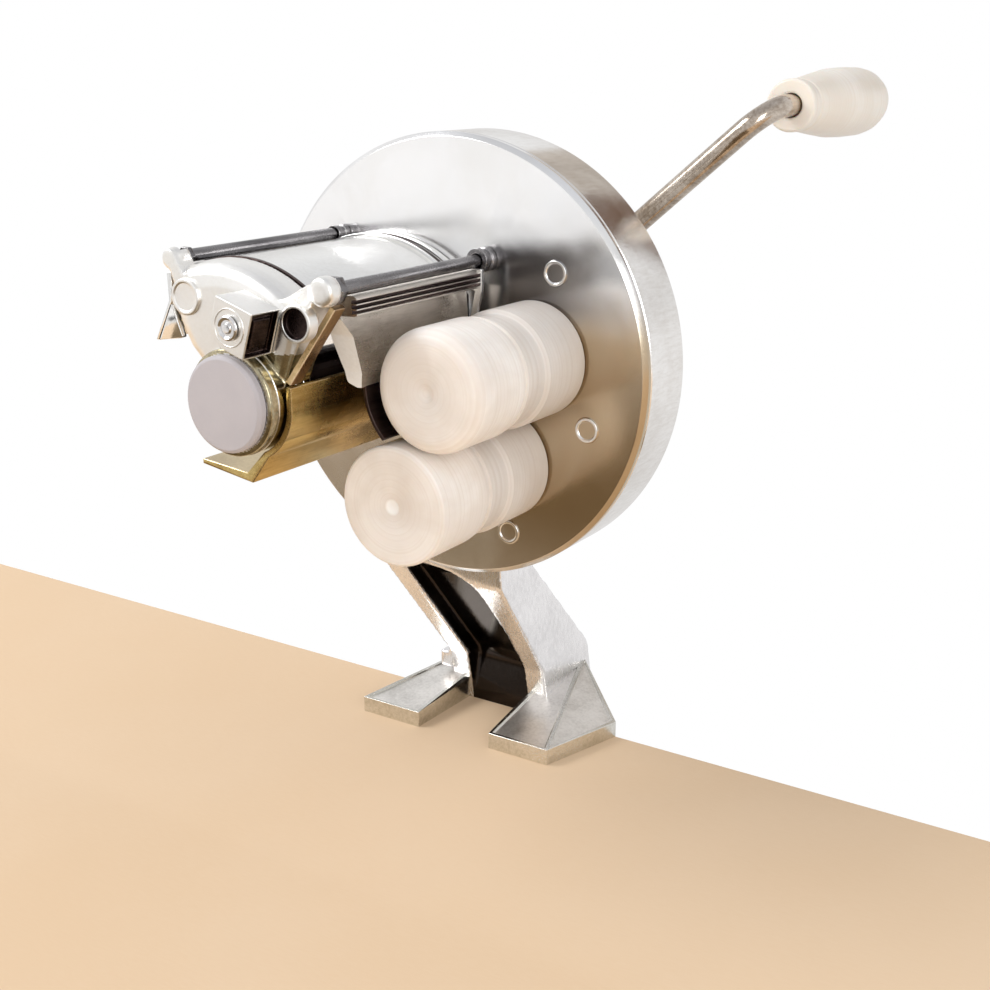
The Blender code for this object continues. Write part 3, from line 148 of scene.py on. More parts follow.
def softened(points, soft, closed=True, steps=5):
    """An outline with its corners rounded. The softness in mm is one number, or one for each corner."""
    result = []
    count = len(points)
    for i, point in enumerate(points):
        reach = MM * (soft[i] if isinstance(soft, (list, tuple)) else soft)
        if reach == 0 or (not closed and i in (0, count - 1)):
            result.append(point)
            continue
        here = Vector(point)
        before = Vector(points[i - 1]) - here
        after = Vector(points[(i + 1) % count]) - here
        half = before.angle(after) / 2
        if half > math.radians(86) or half < math.radians(3):
            result.append(point)
            continue
        trim = min(reach / math.tan(half), before.length / 2.05, after.length / 2.05)
        start = here + before.normalized() * trim
        end = here + after.normalized() * trim
        for step in range(steps + 1):
            share = step / steps
            result.append(tuple(start.lerp(here, share).lerp(here.lerp(end, share), share)))
    return result


# Solids

def piece_from(name, mesh):
    """A new object in the pieces' collection."""
    piece = bpy.data.objects.new(name, mesh)
    PIECES.objects.link(piece)
    return piece


def finished(name, work, angle=35):
    """Turn a bmesh into a smooth-shaded object whose sharp edges stay sharp."""
    bmesh.ops.remove_doubles(work, verts=work.verts, dist=0.002 * MM)
    bmesh.ops.recalc_face_normals(work, faces=work.faces)
    mesh = bpy.data.meshes.new(name)
    work.to_mesh(mesh)
    work.free()
    mesh.shade_smooth()
    mesh.set_sharp_from_angle(angle=math.radians(angle))
    return piece_from(name, mesh)


AXES = {
    "X": lambda across, up, along: (along, across, up),
    "Y": lambda across, up, along: (across, along, up),
    "Z": lambda across, up, along: (across, up, along),
}


def lathe(name, profile, centre, axis="Y", steps=ROUND):
    """A turned solid from (radius, distance) points. A profile that starts off the axis is a closed ring."""
    work = bmesh.new()
    loops = []
    for radius, distance in profile:
        if radius == 0:
            loops.append([work.verts.new(AXES[axis](*centre, distance))] * steps)
            continue
        ring = arc(centre, radius, 0, 360, steps)[:-1]
        loops.append([work.verts.new(AXES[axis](across, up, distance)) for across, up in ring])
    pairs = list(zip(loops, loops[1:]))
    if profile[0][0] > 0:
        pairs.append((loops[-1], loops[0]))
    for first, second in pairs:
        for i in range(steps):
            j = (i + 1) % steps
            corners = list(dict.fromkeys([first[i], first[j], second[j], second[i]]))
            if len(corners) > 2:
                work.faces.new(corners)
    return finished(name, work)


def turned(name, points, centre, soft=0, base=0.0, axis="Y", steps=ROUND):
    """A turned solid with soft corners, from points in mm whose distances count from a base."""
    profile = [(radius * MM, base + distance * MM) for radius, distance in points]
    return lathe(name, softened(profile, soft, closed=profile[0][0] > 0), centre, axis, steps)


def plug(radius, near, far, centre, steps=SMALL, axis="Y"):
    """A plain round solid that cuts a hole."""
    return lathe("plug", [(0.0, near), (radius, near), (radius, far), (0.0, far)], centre, axis, steps)


def lofted(name, rings):
    """A closed solid through rings of points."""
    work = bmesh.new()
    loops = [[work.verts.new(point) for point in ring] for ring in rings]
    work.faces.new(loops[0])
    work.faces.new(list(reversed(loops[-1])))
    for first, second in zip(loops, loops[1:]):
        for i in range(len(first)):
            j = (i + 1) % len(first)
            work.faces.new([first[i], second[i], second[j], first[j]])
    return finished(name, work)


def prism(name, outline, near, far, axis="Y", bevel=0.0, segments=3, angle=30):
    """A flat outline made solid between two distances, with rounded edges where a bevel is given."""
    piece = lofted(name, [[AXES[axis](across, up, place) for across, up in outline] for place in (near, far)])
    if bevel:
        edged(piece, bevel, segments, angle)
    return piece


def edged(piece, width, segments=3, angle=30):
    """Rounded edges that keep the flat faces flat."""
    bevel = piece.modifiers.new("edges", "BEVEL")
    bevel.width = width
    bevel.segments = segments
    bevel.limit_method = "ANGLE"
    bevel.angle_limit = math.radians(angle)
    bevel.harden_normals = True


def bar(name, path, radius, fineness=8, closed=False):
    """A round bar or wire along points."""
    curve = bpy.data.curves.new(name, "CURVE")
    curve.dimensions = "3D"
    curve.bevel_depth = radius
    curve.bevel_resolution = fineness
    curve.use_fill_caps = True
    spline = curve.splines.new("POLY")
    spline.points.add(len(path) - 1)
    for target, point in zip(spline.points, path):
        target.co = (*point, 1)
    spline.use_cyclic_u = closed
    spline.use_smooth = True
    return solid_of(piece_from(name, curve))


def ring_of(name, radius, thickness, centre, y, steps=ROUND, fineness=4):
    """A thin raised ring round an axis along Y."""
    path = [(x, y, z) for x, z in arc(centre, radius, 0, 360, steps)[:-1]]
    return bar(name, path, thickness, fineness, closed=True)


def solid_of(piece):
    """Replace an object by its evaluated mesh, with its modifiers applied."""
    bpy.context.view_layer.update()
    depsgraph = bpy.context.evaluated_depsgraph_get()
    mesh = bpy.data.meshes.new_from_object(piece.evaluated_get(depsgraph))
    mesh.transform(piece.matrix_world)
    name = piece.name
    bpy.data.objects.remove(piece)
    mesh.shade_smooth()
    mesh.set_sharp_from_angle(angle=math.radians(35))
    return piece_from(name, mesh)


def together(name, shapes):
    """Several shapes as one mesh object."""
    work = bmesh.new()
    for shape in shapes:
        shape = solid_of(shape)
        work.from_mesh(shape.data)
        bpy.data.objects.remove(shape)
    mesh = bpy.data.meshes.new(name)
    work.to_mesh(mesh)
    work.free()
    return piece_from(name, mesh)


def cut(piece, cutters):
    """Cut shapes from a piece."""
    tool = together(piece.name + "_tool", cutters)
    change = piece.modifiers.new("cut", "BOOLEAN")
    change.object = tool
    change.operation = "DIFFERENCE"
    change.solver = "EXACT"
    piece = solid_of(piece)
    bpy.data.objects.remove(tool)
    return piece


def fused(name, shapes, voxel, rounds, cutters):
    """Overlapping shapes cast into one skin with soft inner and outer corners, then cut."""
    casting = together(name, shapes)
    remesh = casting.modifiers.new("skin", "REMESH")
    remesh.mode = "VOXEL"
    remesh.voxel_size = voxel
    ease = casting.modifiers.new("ease", "SMOOTH")
    ease.factor = 0.5
    ease.iterations = rounds
    casting = cut(solid_of(casting), cutters)
    casting.data.set_sharp_from_angle(angle=math.radians(60))
    return casting


def dress(piece, look, slot, *nodes, body=None):
    """Give a piece its body and material, and let it stand for CAD nodes. The slot is not used."""
    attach(piece, body or BODY[nodes[0]])
    if nodes:
        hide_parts(*nodes)
    if piece.data.materials:
        piece.data.materials[0] = look
    else:
        piece.data.materials.append(look)
    return piece


def painted(piece, look, chosen):
    """Give some of a piece's faces a second material. Chosen says which, from each face."""
    piece.data.materials.append(look)
    index = len(piece.data.materials) - 1
    for face in piece.data.polygons:
        if chosen(face):
            face.material_index = index


def off_axis(face, centre):
    """How far a face lies from an axis along Y."""
    return math.hypot(face.center.x - centre[0], face.center.z - centre[1])


# Materials

WORN = (0.97, 0.96, 0.95)
WEAR_WIDTH = 0.5 * MM
SPECKS = 2600.0
RINGS = 2400.0


class Nodes:
    """A node tree, built a node at a time."""

    def __init__(self, tree):
        self.tree = tree

    def add(self, kind, values=None, **settings):
        """A node with settings. Values are constants or other nodes' sockets."""
        node = self.tree.nodes.new(kind)
        for key, value in settings.items():
            setattr(node, key, value)
        for key, value in (values or {}).items():
            self.feed(node.inputs[key], value)
        return node

    def feed(self, socket, value):
        """Link a socket, or set its constant. A colour gets its alpha here."""
        if isinstance(value, bpy.types.NodeSocket):
            self.tree.links.new(value, socket)
        elif socket.type == "RGBA":
            socket.default_value = (*value, 1.0)
        else:
            socket.default_value = value


class Look(Nodes):
    """A material with fields over the object's own coordinates."""

    def __init__(self, name):
        self.material = bpy.data.materials.new(name)
        self.material.use_nodes = True
        super().__init__(self.material.node_tree)
        self.shader = self.tree.nodes["Principled BSDF"]
        self.place = self.add("ShaderNodeTexCoord").outputs["Object"]

    def set(self, **values):
        """Set or link the shader's own sockets."""
        for key, value in values.items():
            self.feed(self.shader.inputs[key.replace("_", " ")], value)

    def axes(self):
        """The three object coordinates."""
        split = self.add("ShaderNodeSeparateXYZ", {0: self.place})
        return [split.outputs[axis] for axis in "XYZ"]

    def noise(self, scale, detail=4.0, place=None, rough=0.55, distort=0.0):
        """A noise field, with its scale in features per metre."""
        values = {"Vector": place or self.place, "Scale": scale, "Detail": detail, "Roughness": rough,
                  "Distortion": distort}
        return self.add("ShaderNodeTexNoise", values).outputs["Fac"]

    def stretched(self, scale):
        """Object coordinates scaled by axis, for streaks."""
        return self.add("ShaderNodeMapping", {"Vector": self.place, "Scale": scale}).outputs["Vector"]

    def band(self, value, low, high, start=0.0, end=1.0):
        """Map a range of a field smoothly onto another range."""
        values = {"Value": value, "From Min": low, "From Max": high, "To Min": start, "To Max": end}
        return self.add("ShaderNodeMapRange", values, interpolation_type="SMOOTHSTEP").outputs["Result"]

    def maths(self, operation, first, second):
        """One sum on two fields."""
        return self.add("ShaderNodeMath", {0: first, 1: second}, operation=operation).outputs[0]

    def times(self, *fields):
        """The product of fields."""
        result = fields[0]
        for field in fields[1:]:
            result = self.maths("MULTIPLY", result, field)
        return result

    def plus(self, first, second):
        """The sum of two fields."""
        return self.maths("ADD", first, second)

    def minus(self, first, second):
        """One field less another."""
        return self.maths("SUBTRACT", first, second)

    def mix(self, share, first, second):
        """Two colours mixed by a field."""
        return self.add("ShaderNodeMix", {0: share, 6: first, 7: second}, data_type="RGBA").outputs[2]

    def bump(self, height, depth, strength=1.0, below=None):
        """A bump from a field, on top of another where one is given."""
        values = {"Height": height, "Distance": depth, "Strength": strength}
        if below is not None:
            values["Normal"] = below
        return self.add("ShaderNodeBump", values).outputs["Normal"]

    def edges(self, radius):
        """A mask that is 1 on sharp outer and inner edges."""
        soft = self.add("ShaderNodeBevel", {"Radius": radius}, samples=4).outputs["Normal"]
        true = self.add("ShaderNodeNewGeometry").outputs["Normal"]
        dot = self.add("ShaderNodeVectorMath", {0: soft, 1: true}, operation="DOT_PRODUCT")
        return self.band(dot.outputs["Value"], 0.99, 0.86)

    def from_axis(self, centre):
        """Distance from an axis that runs along Y."""
        values = {0: self.place, 1: (centre[0], 0.0, centre[1])}
        offset = self.add("ShaderNodeVectorMath", values, operation="SUBTRACT").outputs[0]
        flat = self.add("ShaderNodeVectorMath", {0: offset, 1: (1.0, 0.0, 1.0)}, operation="MULTIPLY")
        return self.add("ShaderNodeVectorMath", {0: flat.outputs[0]}, operation="LENGTH").outputs["Value"]

    def rings(self, centre, scale, detail=1.0):
        """Fine turned rings round an axis that runs along Y."""
        radius = self.add("ShaderNodeCombineXYZ", {0: self.from_axis(centre)}).outputs[0]
        return self.noise(scale, detail, place=radius)


def metal(name, bright, dull, sheen, rough, grain=0.010 * MM, streaks=1.0, rings=None, wear=True, cloud=38.0,
          metallic=1.0):
    """Metal with clouded tone, fine grain, polishing marks, and brighter worn edges."""
    look = Look(name)
    clouds = look.noise(cloud, 5.0, distort=0.4)
    marks = look.noise(900.0, 3.0, place=look.stretched((1.0, streaks, 1.0)), rough=0.65)
    specks = look.noise(SPECKS, 2.0)
    tone = look.plus(look.times(clouds, 0.6), look.times(marks, 0.4))
    colour = look.mix(look.band(tone, 0.28, 0.66), dull, bright)
    roughness = look.band(look.plus(clouds, look.times(specks, 0.5)), 0.35, 1.1, sheen, rough)
    if wear:
        edge = look.edges(WEAR_WIDTH)
        colour = look.mix(look.times(edge, 0.6), colour, WORN)
        roughness = look.minus(roughness, look.times(edge, sheen / 2))
    normal = look.bump(look.noise(150.0, 2.0), 0.03 * MM, 0.6)
    normal = look.bump(look.plus(look.times(marks, 0.6), specks), grain, 1.0, normal)
    if rings:
        normal = look.bump(look.rings(rings, RINGS), grain, 0.8, normal)
    look.set(Base_Color=colour, Roughness=roughness, Normal=normal, Metallic=metallic)
    return look.material


def plastic(name, light, shade, gloss, rough, subsurface=0.0, along=False, ends=None, centre_highlight=False):
    """Cloudy plastic with rings along its length. An axis for its ends adds rings there and painted grey
    shade on the rear, and it can add a painted highlight at the centre.
    """
    look = Look(name)
    clouds = look.noise(45.0, 4.0, distort=0.3)
    specks = look.noise(1500.0, 3.0)
    colour = look.mix(look.band(clouds, 0.35, 0.68, 0.45, 1.0), shade, light)
    normal = look.bump(specks, 0.012 * MM, 0.6)
    if along:
        rings = look.noise(700.0, 2.0, place=look.stretched((0.0, 1.0, 0.0)))
        colour = look.mix(look.band(rings, 0.40, 0.66, 0.0, 0.42), colour, shade)
        normal = look.bump(rings, 0.10 * MM, 0.8, normal)
    if ends:
        rings = look.rings(ends, 1300.0, 2.0)
        normal = look.bump(rings, 0.08 * MM, 0.8, normal)
        colour = look.mix(look.band(rings, 0.42, 0.66, 0.0, 0.25), colour, shade)
        # Painted shade: greyer on the rear part, towards the drum
        rear = look.band(look.axes()[1], -76 * MM, -62 * MM, 0.0, 0.40)
        colour = look.mix(rear, colour, (0.46, 0.41, 0.37))
    # Painted highlight: near white on the centre dimple
    if centre_highlight:
        colour = look.mix(look.band(look.from_axis(ends), 3.0 * MM, 1.8 * MM), colour, (1.0, 1.0, 0.98))
    roughness = look.band(look.plus(clouds, specks), 0.8, 1.2, gloss, rough)
    look.set(Base_Color=colour, Roughness=roughness, Normal=normal, Metallic=0.0)
    look.set(Subsurface_Weight=subsurface, Subsurface_Scale=4 * MM, Subsurface_Radius=(1.0, 0.6, 0.4))
    return look.material


CAST = metal("cast_polished", (0.94, 0.94, 0.93), (0.84, 0.83, 0.81), 0.10, 0.22, grain=0.006 * MM)
# Painted highlight: matt white for the side wall's front end, where the edge catches the light
WHITE = metal("painted_highlight_white", (0.99, 0.98, 0.96), (0.90, 0.88, 0.85), 0.42, 0.60, grain=0.02 * MM,
              metallic=0.0)
CREAM = metal("cream_casting", (0.98, 0.97, 0.95), (0.92, 0.90, 0.86), 0.24, 0.42, grain=0.012 * MM)
SATIN = metal("satin_side", (0.76, 0.70, 0.63), (0.50, 0.455, 0.40), 0.22, 0.38, grain=0.014 * MM,
              streaks=0.12)
# Golden brown painted as the warm reflection in the trough sheet
WARM = metal("trough_painted_reflection", (0.66, 0.49, 0.20), (0.40, 0.27, 0.09), 0.20, 0.38, grain=0.006 * MM,
             streaks=0.10, cloud=60.0)
# Pale painted reflection for the chute's faces that are not turned down
CHUTE = metal("chute_painted_reflection", (0.80, 0.67, 0.44), (0.62, 0.49, 0.29), 0.28, 0.46, wear=False)
BRIGHT = metal("bright_steel", (0.88, 0.87, 0.87), (0.68, 0.67, 0.67), 0.08, 0.20, streaks=0.08)
DARK = metal("dark_steel", (0.27, 0.26, 0.265), (0.10, 0.095, 0.10), 0.14, 0.32, streaks=0.08)
# Near-black painted shade for the cutter, inner faces, grooves, the lip and recesses in the shade; also the
# vault's dark seams
SHADE = metal("cutter_steel", (0.10, 0.07, 0.065), (0.03, 0.02, 0.02), 0.20, 0.40, streaks=0.08, wear=False)
# Dark olive painted shade for the bearing's barrel and the plate low beside it
BARREL_SHADE = metal("barrel_painted_shade", (0.62, 0.55, 0.38), (0.22, 0.19, 0.12), 0.12, 0.26)
CRANK = metal("crank_steel", (0.72, 0.64, 0.56), (0.30, 0.23, 0.17), 0.10, 0.22, streaks=0.08, cloud=70.0)
HUB = metal("turned_steel", (0.76, 0.75, 0.75), (0.52, 0.51, 0.51), 0.14, 0.28, rings=SHAFT)
BRONZE = metal("bearing_bronze", (0.68, 0.48, 0.26), (0.42, 0.27, 0.13), 0.22, 0.42, wear=False)
GRIP_IVORY = plastic("ivory_grip", (0.90, 0.86, 0.80), (0.80, 0.72, 0.62), 0.28, 0.44, 0.18, along=True)
GREY = plastic("grey_cap", (0.50, 0.475, 0.50), (0.43, 0.41, 0.44), 0.55, 0.75)


def face_look():
    """Turned and polished drum face, with a painted brown reflection and a painted dark reflection on the
    right, and painted shade inside the head.
    """
    look = Look("drum_face")
    clouds = look.noise(30.0, 6.0, distort=0.5)
    specks = look.noise(SPECKS, 2.0)
    x, _, z = look.axes()
    colour = look.mix(look.band(clouds, 0.30, 0.70), (0.90, 0.89, 0.88), (0.99, 0.99, 1.0))
    roughness = look.band(look.plus(clouds, look.times(specks, 0.4)), 0.4, 1.0, 0.15, 0.24)
    # Painted reflections on the right of the face: brown low down, and a dark band above it
    height = look.plus(z, look.times(clouds, 6 * MM))
    side = look.band(x, 14 * MM, 26 * MM)
    fading = look.band(z, 62 * MM, 98 * MM, 0.35, 1.0)
    brown = look.times(look.band(height, 176 * MM, 154 * MM, 0.0, 0.88), side, fading)
    colour = look.mix(brown, colour, (0.50, 0.38, 0.23))
    dark = look.times(look.band(height, 189 * MM, 181 * MM), look.band(height, 158 * MM, 167 * MM),
                      look.band(x, 68 * MM, 34 * MM, 0.18, 0.95), side)
    colour = look.mix(dark, colour, (0.14, 0.13, 0.13))
    # Painted shade inside the head, under the vault
    inside = look.times(look.band(look.from_axis(VAULT), 42.6 * MM, 42.3 * MM),
                        look.band(x, 9.0 * MM, 8.7 * MM), look.band(z, 124.0 * MM, 124.4 * MM),
                        look.band(x, -40 * MM, -26 * MM))
    colour = look.mix(inside, colour, (0.05, 0.04, 0.04))
    colour = look.mix(look.times(look.edges(WEAR_WIDTH), 0.6), colour, (0.98, 0.97, 0.96))
    normal = look.bump(clouds, 0.05 * MM, 0.5)
    normal = look.bump(look.rings(DRUM, RINGS), 0.004 * MM, 0.8, normal)
    normal = look.bump(specks, 0.003 * MM, 0.8, normal)
    look.set(Base_Color=colour, Roughness=roughness, Normal=normal, Metallic=1.0)
    return look.material


# The drum, its cover and what is bolted on

def make_drum():
    """The gear housing: face, bright chamfer, rim with its groove, and the raised marks."""
    rim = DRUM_RADIUS / MM
    depth = (DRUM_BACK - DRUM_FRONT) / MM
    groove = [(rim, 3), (rim - 0.6, 3.45), (rim, 3.9)]
    hollow = [(rim - 4, depth), (rim - 4, 4), (0, 4)]
    profile = [(0, 0), (rim - 1.5, 0), (rim, 1.5), *groove, (rim, depth), *hollow]
    soft = (0, 0.35, 0.35, 0.15, 0.2, 0.15, 0, 0, 0, 0)
    drum = turned("drum_shell", profile, DRUM, soft, DRUM_FRONT, steps=FINEST)
    bores = ((SHAFT, SHAFT_BORE), (TOP_ROLLER, ROLLER_BORE), (BOTTOM_ROLLER, ROLLER_BORE))
    holes = [plug(bore, -PAST_DRUM, 0.0, centre, ROUND) for centre, bore in bores]
    holes += [plug(ROD_BORE, -PAST_DRUM, 0.0, centre) for centre in (LEFT_ROD, RIGHT_ROD)]
    drum = cut(drum, holes)
    face_metal = face_look()
    dress(drum, face_metal, "polished_casting", "gear_housing")
    rim_metal = metal("drum_rim", (0.94, 0.93, 0.92), (0.78, 0.75, 0.72), 0.09, 0.20, grain=0.012 * MM,
                      streaks=0.2, cloud=55.0)
    painted(drum, rim_metal, lambda face: face.center.y > DRUM_FRONT + 2.8 * MM
            and off_axis(face, DRUM) > DRUM_RADIUS - 1 * MM)
    marks = []
    for angle in (40.0, -11.6, -61.8):
        spot = polar((DRUM[0] - 3 * MM, DRUM[1] - 5 * MM), 58.4 * MM, angle)
        profile = [(0, -0.15), (3.0, -0.15), (3.3, -0.55), (4.0, -0.55), (4.4, 0.1), (0, 0.1)]
        marks.append(turned("mark", profile, spot, (0, 0.25, 0.25, 0.25, 0, 0), DRUM_FRONT, steps=SMALL))
    rings = dress(together("drum_marks", marks), CAST, "polished_casting", body="frame")
    painted(rings, face_metal, lambda face: face.center.y > DRUM_FRONT - 0.2 * MM)


def make_cover():
    """The back cover with its ribs, cups, neck and slotted screws."""
    front = (DRUM_BACK + GAP - COVER_BACK) / MM
    disc = [(0, 0), (72.2, 0), (73.8, -1.6), (73.8, front), (0, front)]
    neck = [(0, 38.5), (12.5, 38.5), (12.5, 25.7), (20, -1), (0, -1)]
    cup = [(0, 6.5), (8.5, 6.5), (8.5, -1), (0, -1)]
    shapes = [
        turned("disc", disc, DRUM, (0, 0.6, 0.6, 0.2, 0), COVER_BACK, steps=FINE),
        turned("neck", neck, SHAFT, (0, 0.8, 3, 0, 0), COVER_BACK),
    ]
    for centre in (TOP_ROLLER, BOTTOM_ROLLER):
        shapes.append(turned("cup", cup, centre, (0, 1.2, 0, 0), COVER_BACK))
    for turn in (35.0, 125.0, 215.0, 305.0):
        tip = polar(DRUM, 62 * MM, turn)
        root = polar(SHAFT, 8 * MM, math.degrees(math.atan2(tip[1] - SHAFT[1], tip[0] - SHAFT[0])))
        shapes.append(prism("rib", strip(root, tip, 1.6 * MM), COVER_BACK - 1 * MM, COVER_BACK + 2.2 * MM))
    bore = plug(SHAFT_BORE, -PAST_DRUM, PAST_DRUM, SHAFT, ROUND)
    casting = fused("cover_casting", shapes, 0.7 * MM, 3, [bore])
    dress(casting, CAST, "polished_casting", "back_cover")
    seat = COVER_BACK + GAP
    for index, angle in enumerate((-20.0, 70.0, 160.0, 250.0)):
        spot = polar(DRUM, 66.5 * MM, angle)
        head = [(0, 2.2), (2.6, 2.1), (3.4, 1.2), (3.4, 0), (1.7, 0), (1.7, -12), (0, -12)]
        screw = turned(f"screw_head_{index + 1}", head, spot, 0.3, seat, steps=SMALL)
        slot = spun(mm((-4, -0.4), (4, -0.4), (4, 0.4), (-4, 0.4)), 30 + 40 * index)
        screw = cut(screw, [prism("slot", moved(slot, spot), seat + 1.4 * MM, seat + 5 * MM)])
        dress(screw, BRIGHT, "steel", f"cover_screw_{index + 1}")


# Legs, web, feet and lower arm

KNEE_Z = 20 * MM
LEG_TOP = 60 * MM
KNEE_FRONT = -4 * MM
TOP_FRONT = -29 * MM
LEFT_LEAN = 10 * MM
RIGHT_LEAN = 3 * MM


def above_knee(height):
    """A height as a share of the way from the knee to the legs' top, and 0 below the knee."""
    return max(0.0, height - KNEE_Z) / (LEG_TOP - KNEE_Z)


def leg_front(height):
    """Where the legs' front edge lies at a height."""
    if height > KNEE_Z:
        return KNEE_FRONT + (TOP_FRONT - KNEE_FRONT) * min(1.0, above_knee(height))
    return KNEE_FRONT * height / KNEE_Z


def leaned(piece):
    """Lean the legs sideways above the knee."""
    for vertex in piece.data.vertices:
        vertex.co.x -= above_knee(vertex.co.z) * (LEFT_LEAN if vertex.co.x < 0 else RIGHT_LEAN)
    return piece


def leg_side():
    """The flanges' side view, as (y, z), with the casting's soft corners."""
    corners = mm(
        (-29, 83), (-29, 60), (-4, 20), (0.4, 0.5), (0.4, -52), (-33, -52), (-38, -57), (-38, -61),
        (-33, -66), (22, -66), (27, -61), (33, 6), (29.7, 21), (-9.2, 65.5), (-9.2, 83),
    )
    return softened(corners, (0, 2, 9, 0.3, 6, 3, 3, 3, 3, 4, 4, 10, 12, 6, 0), steps=8)


def web_side():
    """The web's side view: set back between the legs, and against the table edge below."""
    corners = mm(
        (-28.6, 82), (-28.6, 63.5), (-20.6, 59.5), (4, 20), (0, 4), (0, -57.5), (-33, -57.5), (-33, -63.5),
        (0, -63.5), (6, -57.5), (6, 4), (10, 20), (-14.6, 63.5), (-14.6, 82),
    )
    return softened(corners, (0, 4, 4, 8, 2, 0, 1, 1, 2, 4, 2, 10, 4, 0), steps=8)


def divided(piece):
    """Cut a piece across at many heights, so that it can lean."""
    work = bmesh.new()
    work.from_mesh(piece.data)
    for index in range(12):
        level = (0, 0, KNEE_Z + index * 5 * MM)
        everything = work.verts[:] + work.edges[:] + work.faces[:]
        bmesh.ops.bisect_plane(work, geom=everything, plane_co=level, plane_no=(0, 0, 1), dist=0.001 * MM)
    work.to_mesh(piece.data)
    work.free()
    return piece


def gusset():
    """The cast corner between the drum and the right leg, whose edge curves down to the knee."""
    edge = mm((-20, 64.4), (-14, 64.0), (-3.7, 62.7), (2.2, 60.8), (5.9, 58.3), (8.0, 53.0), (9.4, 46.1),
              (11.8, 34.8), (13.8, 22))
    rings = []
    for x, z in edge:
        inner = 14 * MM - RIGHT_LEAN * above_knee(z)
        front = leg_front(z)
        back = front + 7 * MM
        rings.append([(x, front, z), (inner, front, z), (inner, back, z), (x, back, z)])
    rings.insert(0, [(x, y, 80 * MM) for x, y, _ in rings[0]])
    return lofted("gusset", rings)


def make_stand():
    """Both legs, web, spine and arm as one soft-cornered casting, cut to the drum."""
    sides = ((leg_side(), -21.5, -12.5), (leg_side(), 12.5, 21.5), (web_side(), -13, 13))
    shapes = []
    for outline, low, high in sides:
        shapes.append(leaned(divided(prism("leg", outline, low * MM, high * MM, axis="X"))))
    shapes.append(turned("boss", [(0, -69), (10, -69), (10, -49), (0, -49)], CLAMP, (0, 1, 1, 0), axis="Z"))
    shapes.append(gusset())
    shapes.append(prism("lug", mm((-25.5, 12), (-20, 12), (-20, 18.5), (-25.5, 18.5)), -4 * MM, 6 * MM))
    seat = plug(DRUM_RADIUS + GAP, -50 * MM, 20 * MM, DRUM, FINEST)
    hole = plug(5.3 * MM, -90 * MM, -30 * MM, CLAMP, axis="Z")
    stand = fused("stand_casting", shapes, 0.7 * MM, 4, [seat, hole])
    dress(stand, leg_look(), "polished_casting", "stand")
    for side in (-1, 1):
        make_foot(side)


def leg_look():
    """Satin grained casting, made black in the pocket between the legs by painted shade."""
    look = Look("leg_casting")
    clouds = look.noise(50.0, 5.0, distort=0.3)
    grain = look.noise(1500.0, 3.0, place=look.stretched((1.0, 0.7, 0.25)), rough=0.7)
    tone = look.plus(look.times(clouds, 0.45), look.times(grain, 0.55))
    colour = look.mix(look.band(tone, 0.30, 0.66), (0.76, 0.75, 0.76), (0.94, 0.93, 0.94))
    colour = look.mix(look.times(look.edges(0.6 * MM), 0.7), colour, (0.98, 0.97, 0.95))
    roughness = look.band(tone, 0.3, 0.7, 0.34, 0.20)
    normal = look.bump(grain, 0.012 * MM, 0.8)
    normal = look.bump(look.noise(3000.0, 2.0), 0.006 * MM, 0.8, normal)
    # The mask of the pocket between the legs, which gets painted shade
    x, y, z = look.axes()
    slope = (TOP_FRONT - KNEE_FRONT) / (LEG_TOP - KNEE_Z)
    upper = look.plus(look.times(z, slope), KNEE_FRONT - slope * KNEE_Z)
    lower = look.times(z, KNEE_FRONT / KNEE_Z)
    behind = look.minus(y, look.maths("MAXIMUM", look.maths("MINIMUM", upper, lower), TOP_FRONT))
    low = look.band(z, KNEE_Z, KNEE_Z - 1 * MM)
    near = look.times(low, look.band(y, 5.2 * MM, 4.9 * MM))
    deep = look.times(look.band(behind, 1.3 * MM, 1.7 * MM), look.band(behind, 12 * MM, 11 * MM),
                      look.minus(1.0, low))
    lean = look.maths("DIVIDE", look.maths("MAXIMUM", look.minus(z, KNEE_Z), 0.0), LEG_TOP - KNEE_Z)
    left = look.plus(x, look.times(lean, LEFT_LEAN))
    right = look.plus(x, look.times(lean, RIGHT_LEAN))
    sides = look.times(look.band(left, -13.0 * MM, -12.6 * MM), look.band(right, 13.0 * MM, 12.6 * MM))
    ends = look.times(look.band(z, 64.6 * MM, 64.2 * MM), look.band(z, -0.6 * MM, -0.2 * MM))
    # Painted shade: near black in the pocket between the legs
    pocket = look.times(look.plus(near, deep), sides, ends)
    colour = look.mix(pocket, colour, (0.035, 0.028, 0.024))
    roughness = look.minus(roughness, look.times(pocket, 0.14))
    look.set(Base_Color=colour, Roughness=roughness, Normal=normal, Metallic=1.0)
    return look.material


def inset(work, face, *steps):
    """Set a face in, step by step, each with its thickness and depth in mm."""
    for thickness, depth in steps:
        bmesh.ops.inset_individual(work, faces=[face], thickness=thickness * MM, depth=depth * MM)


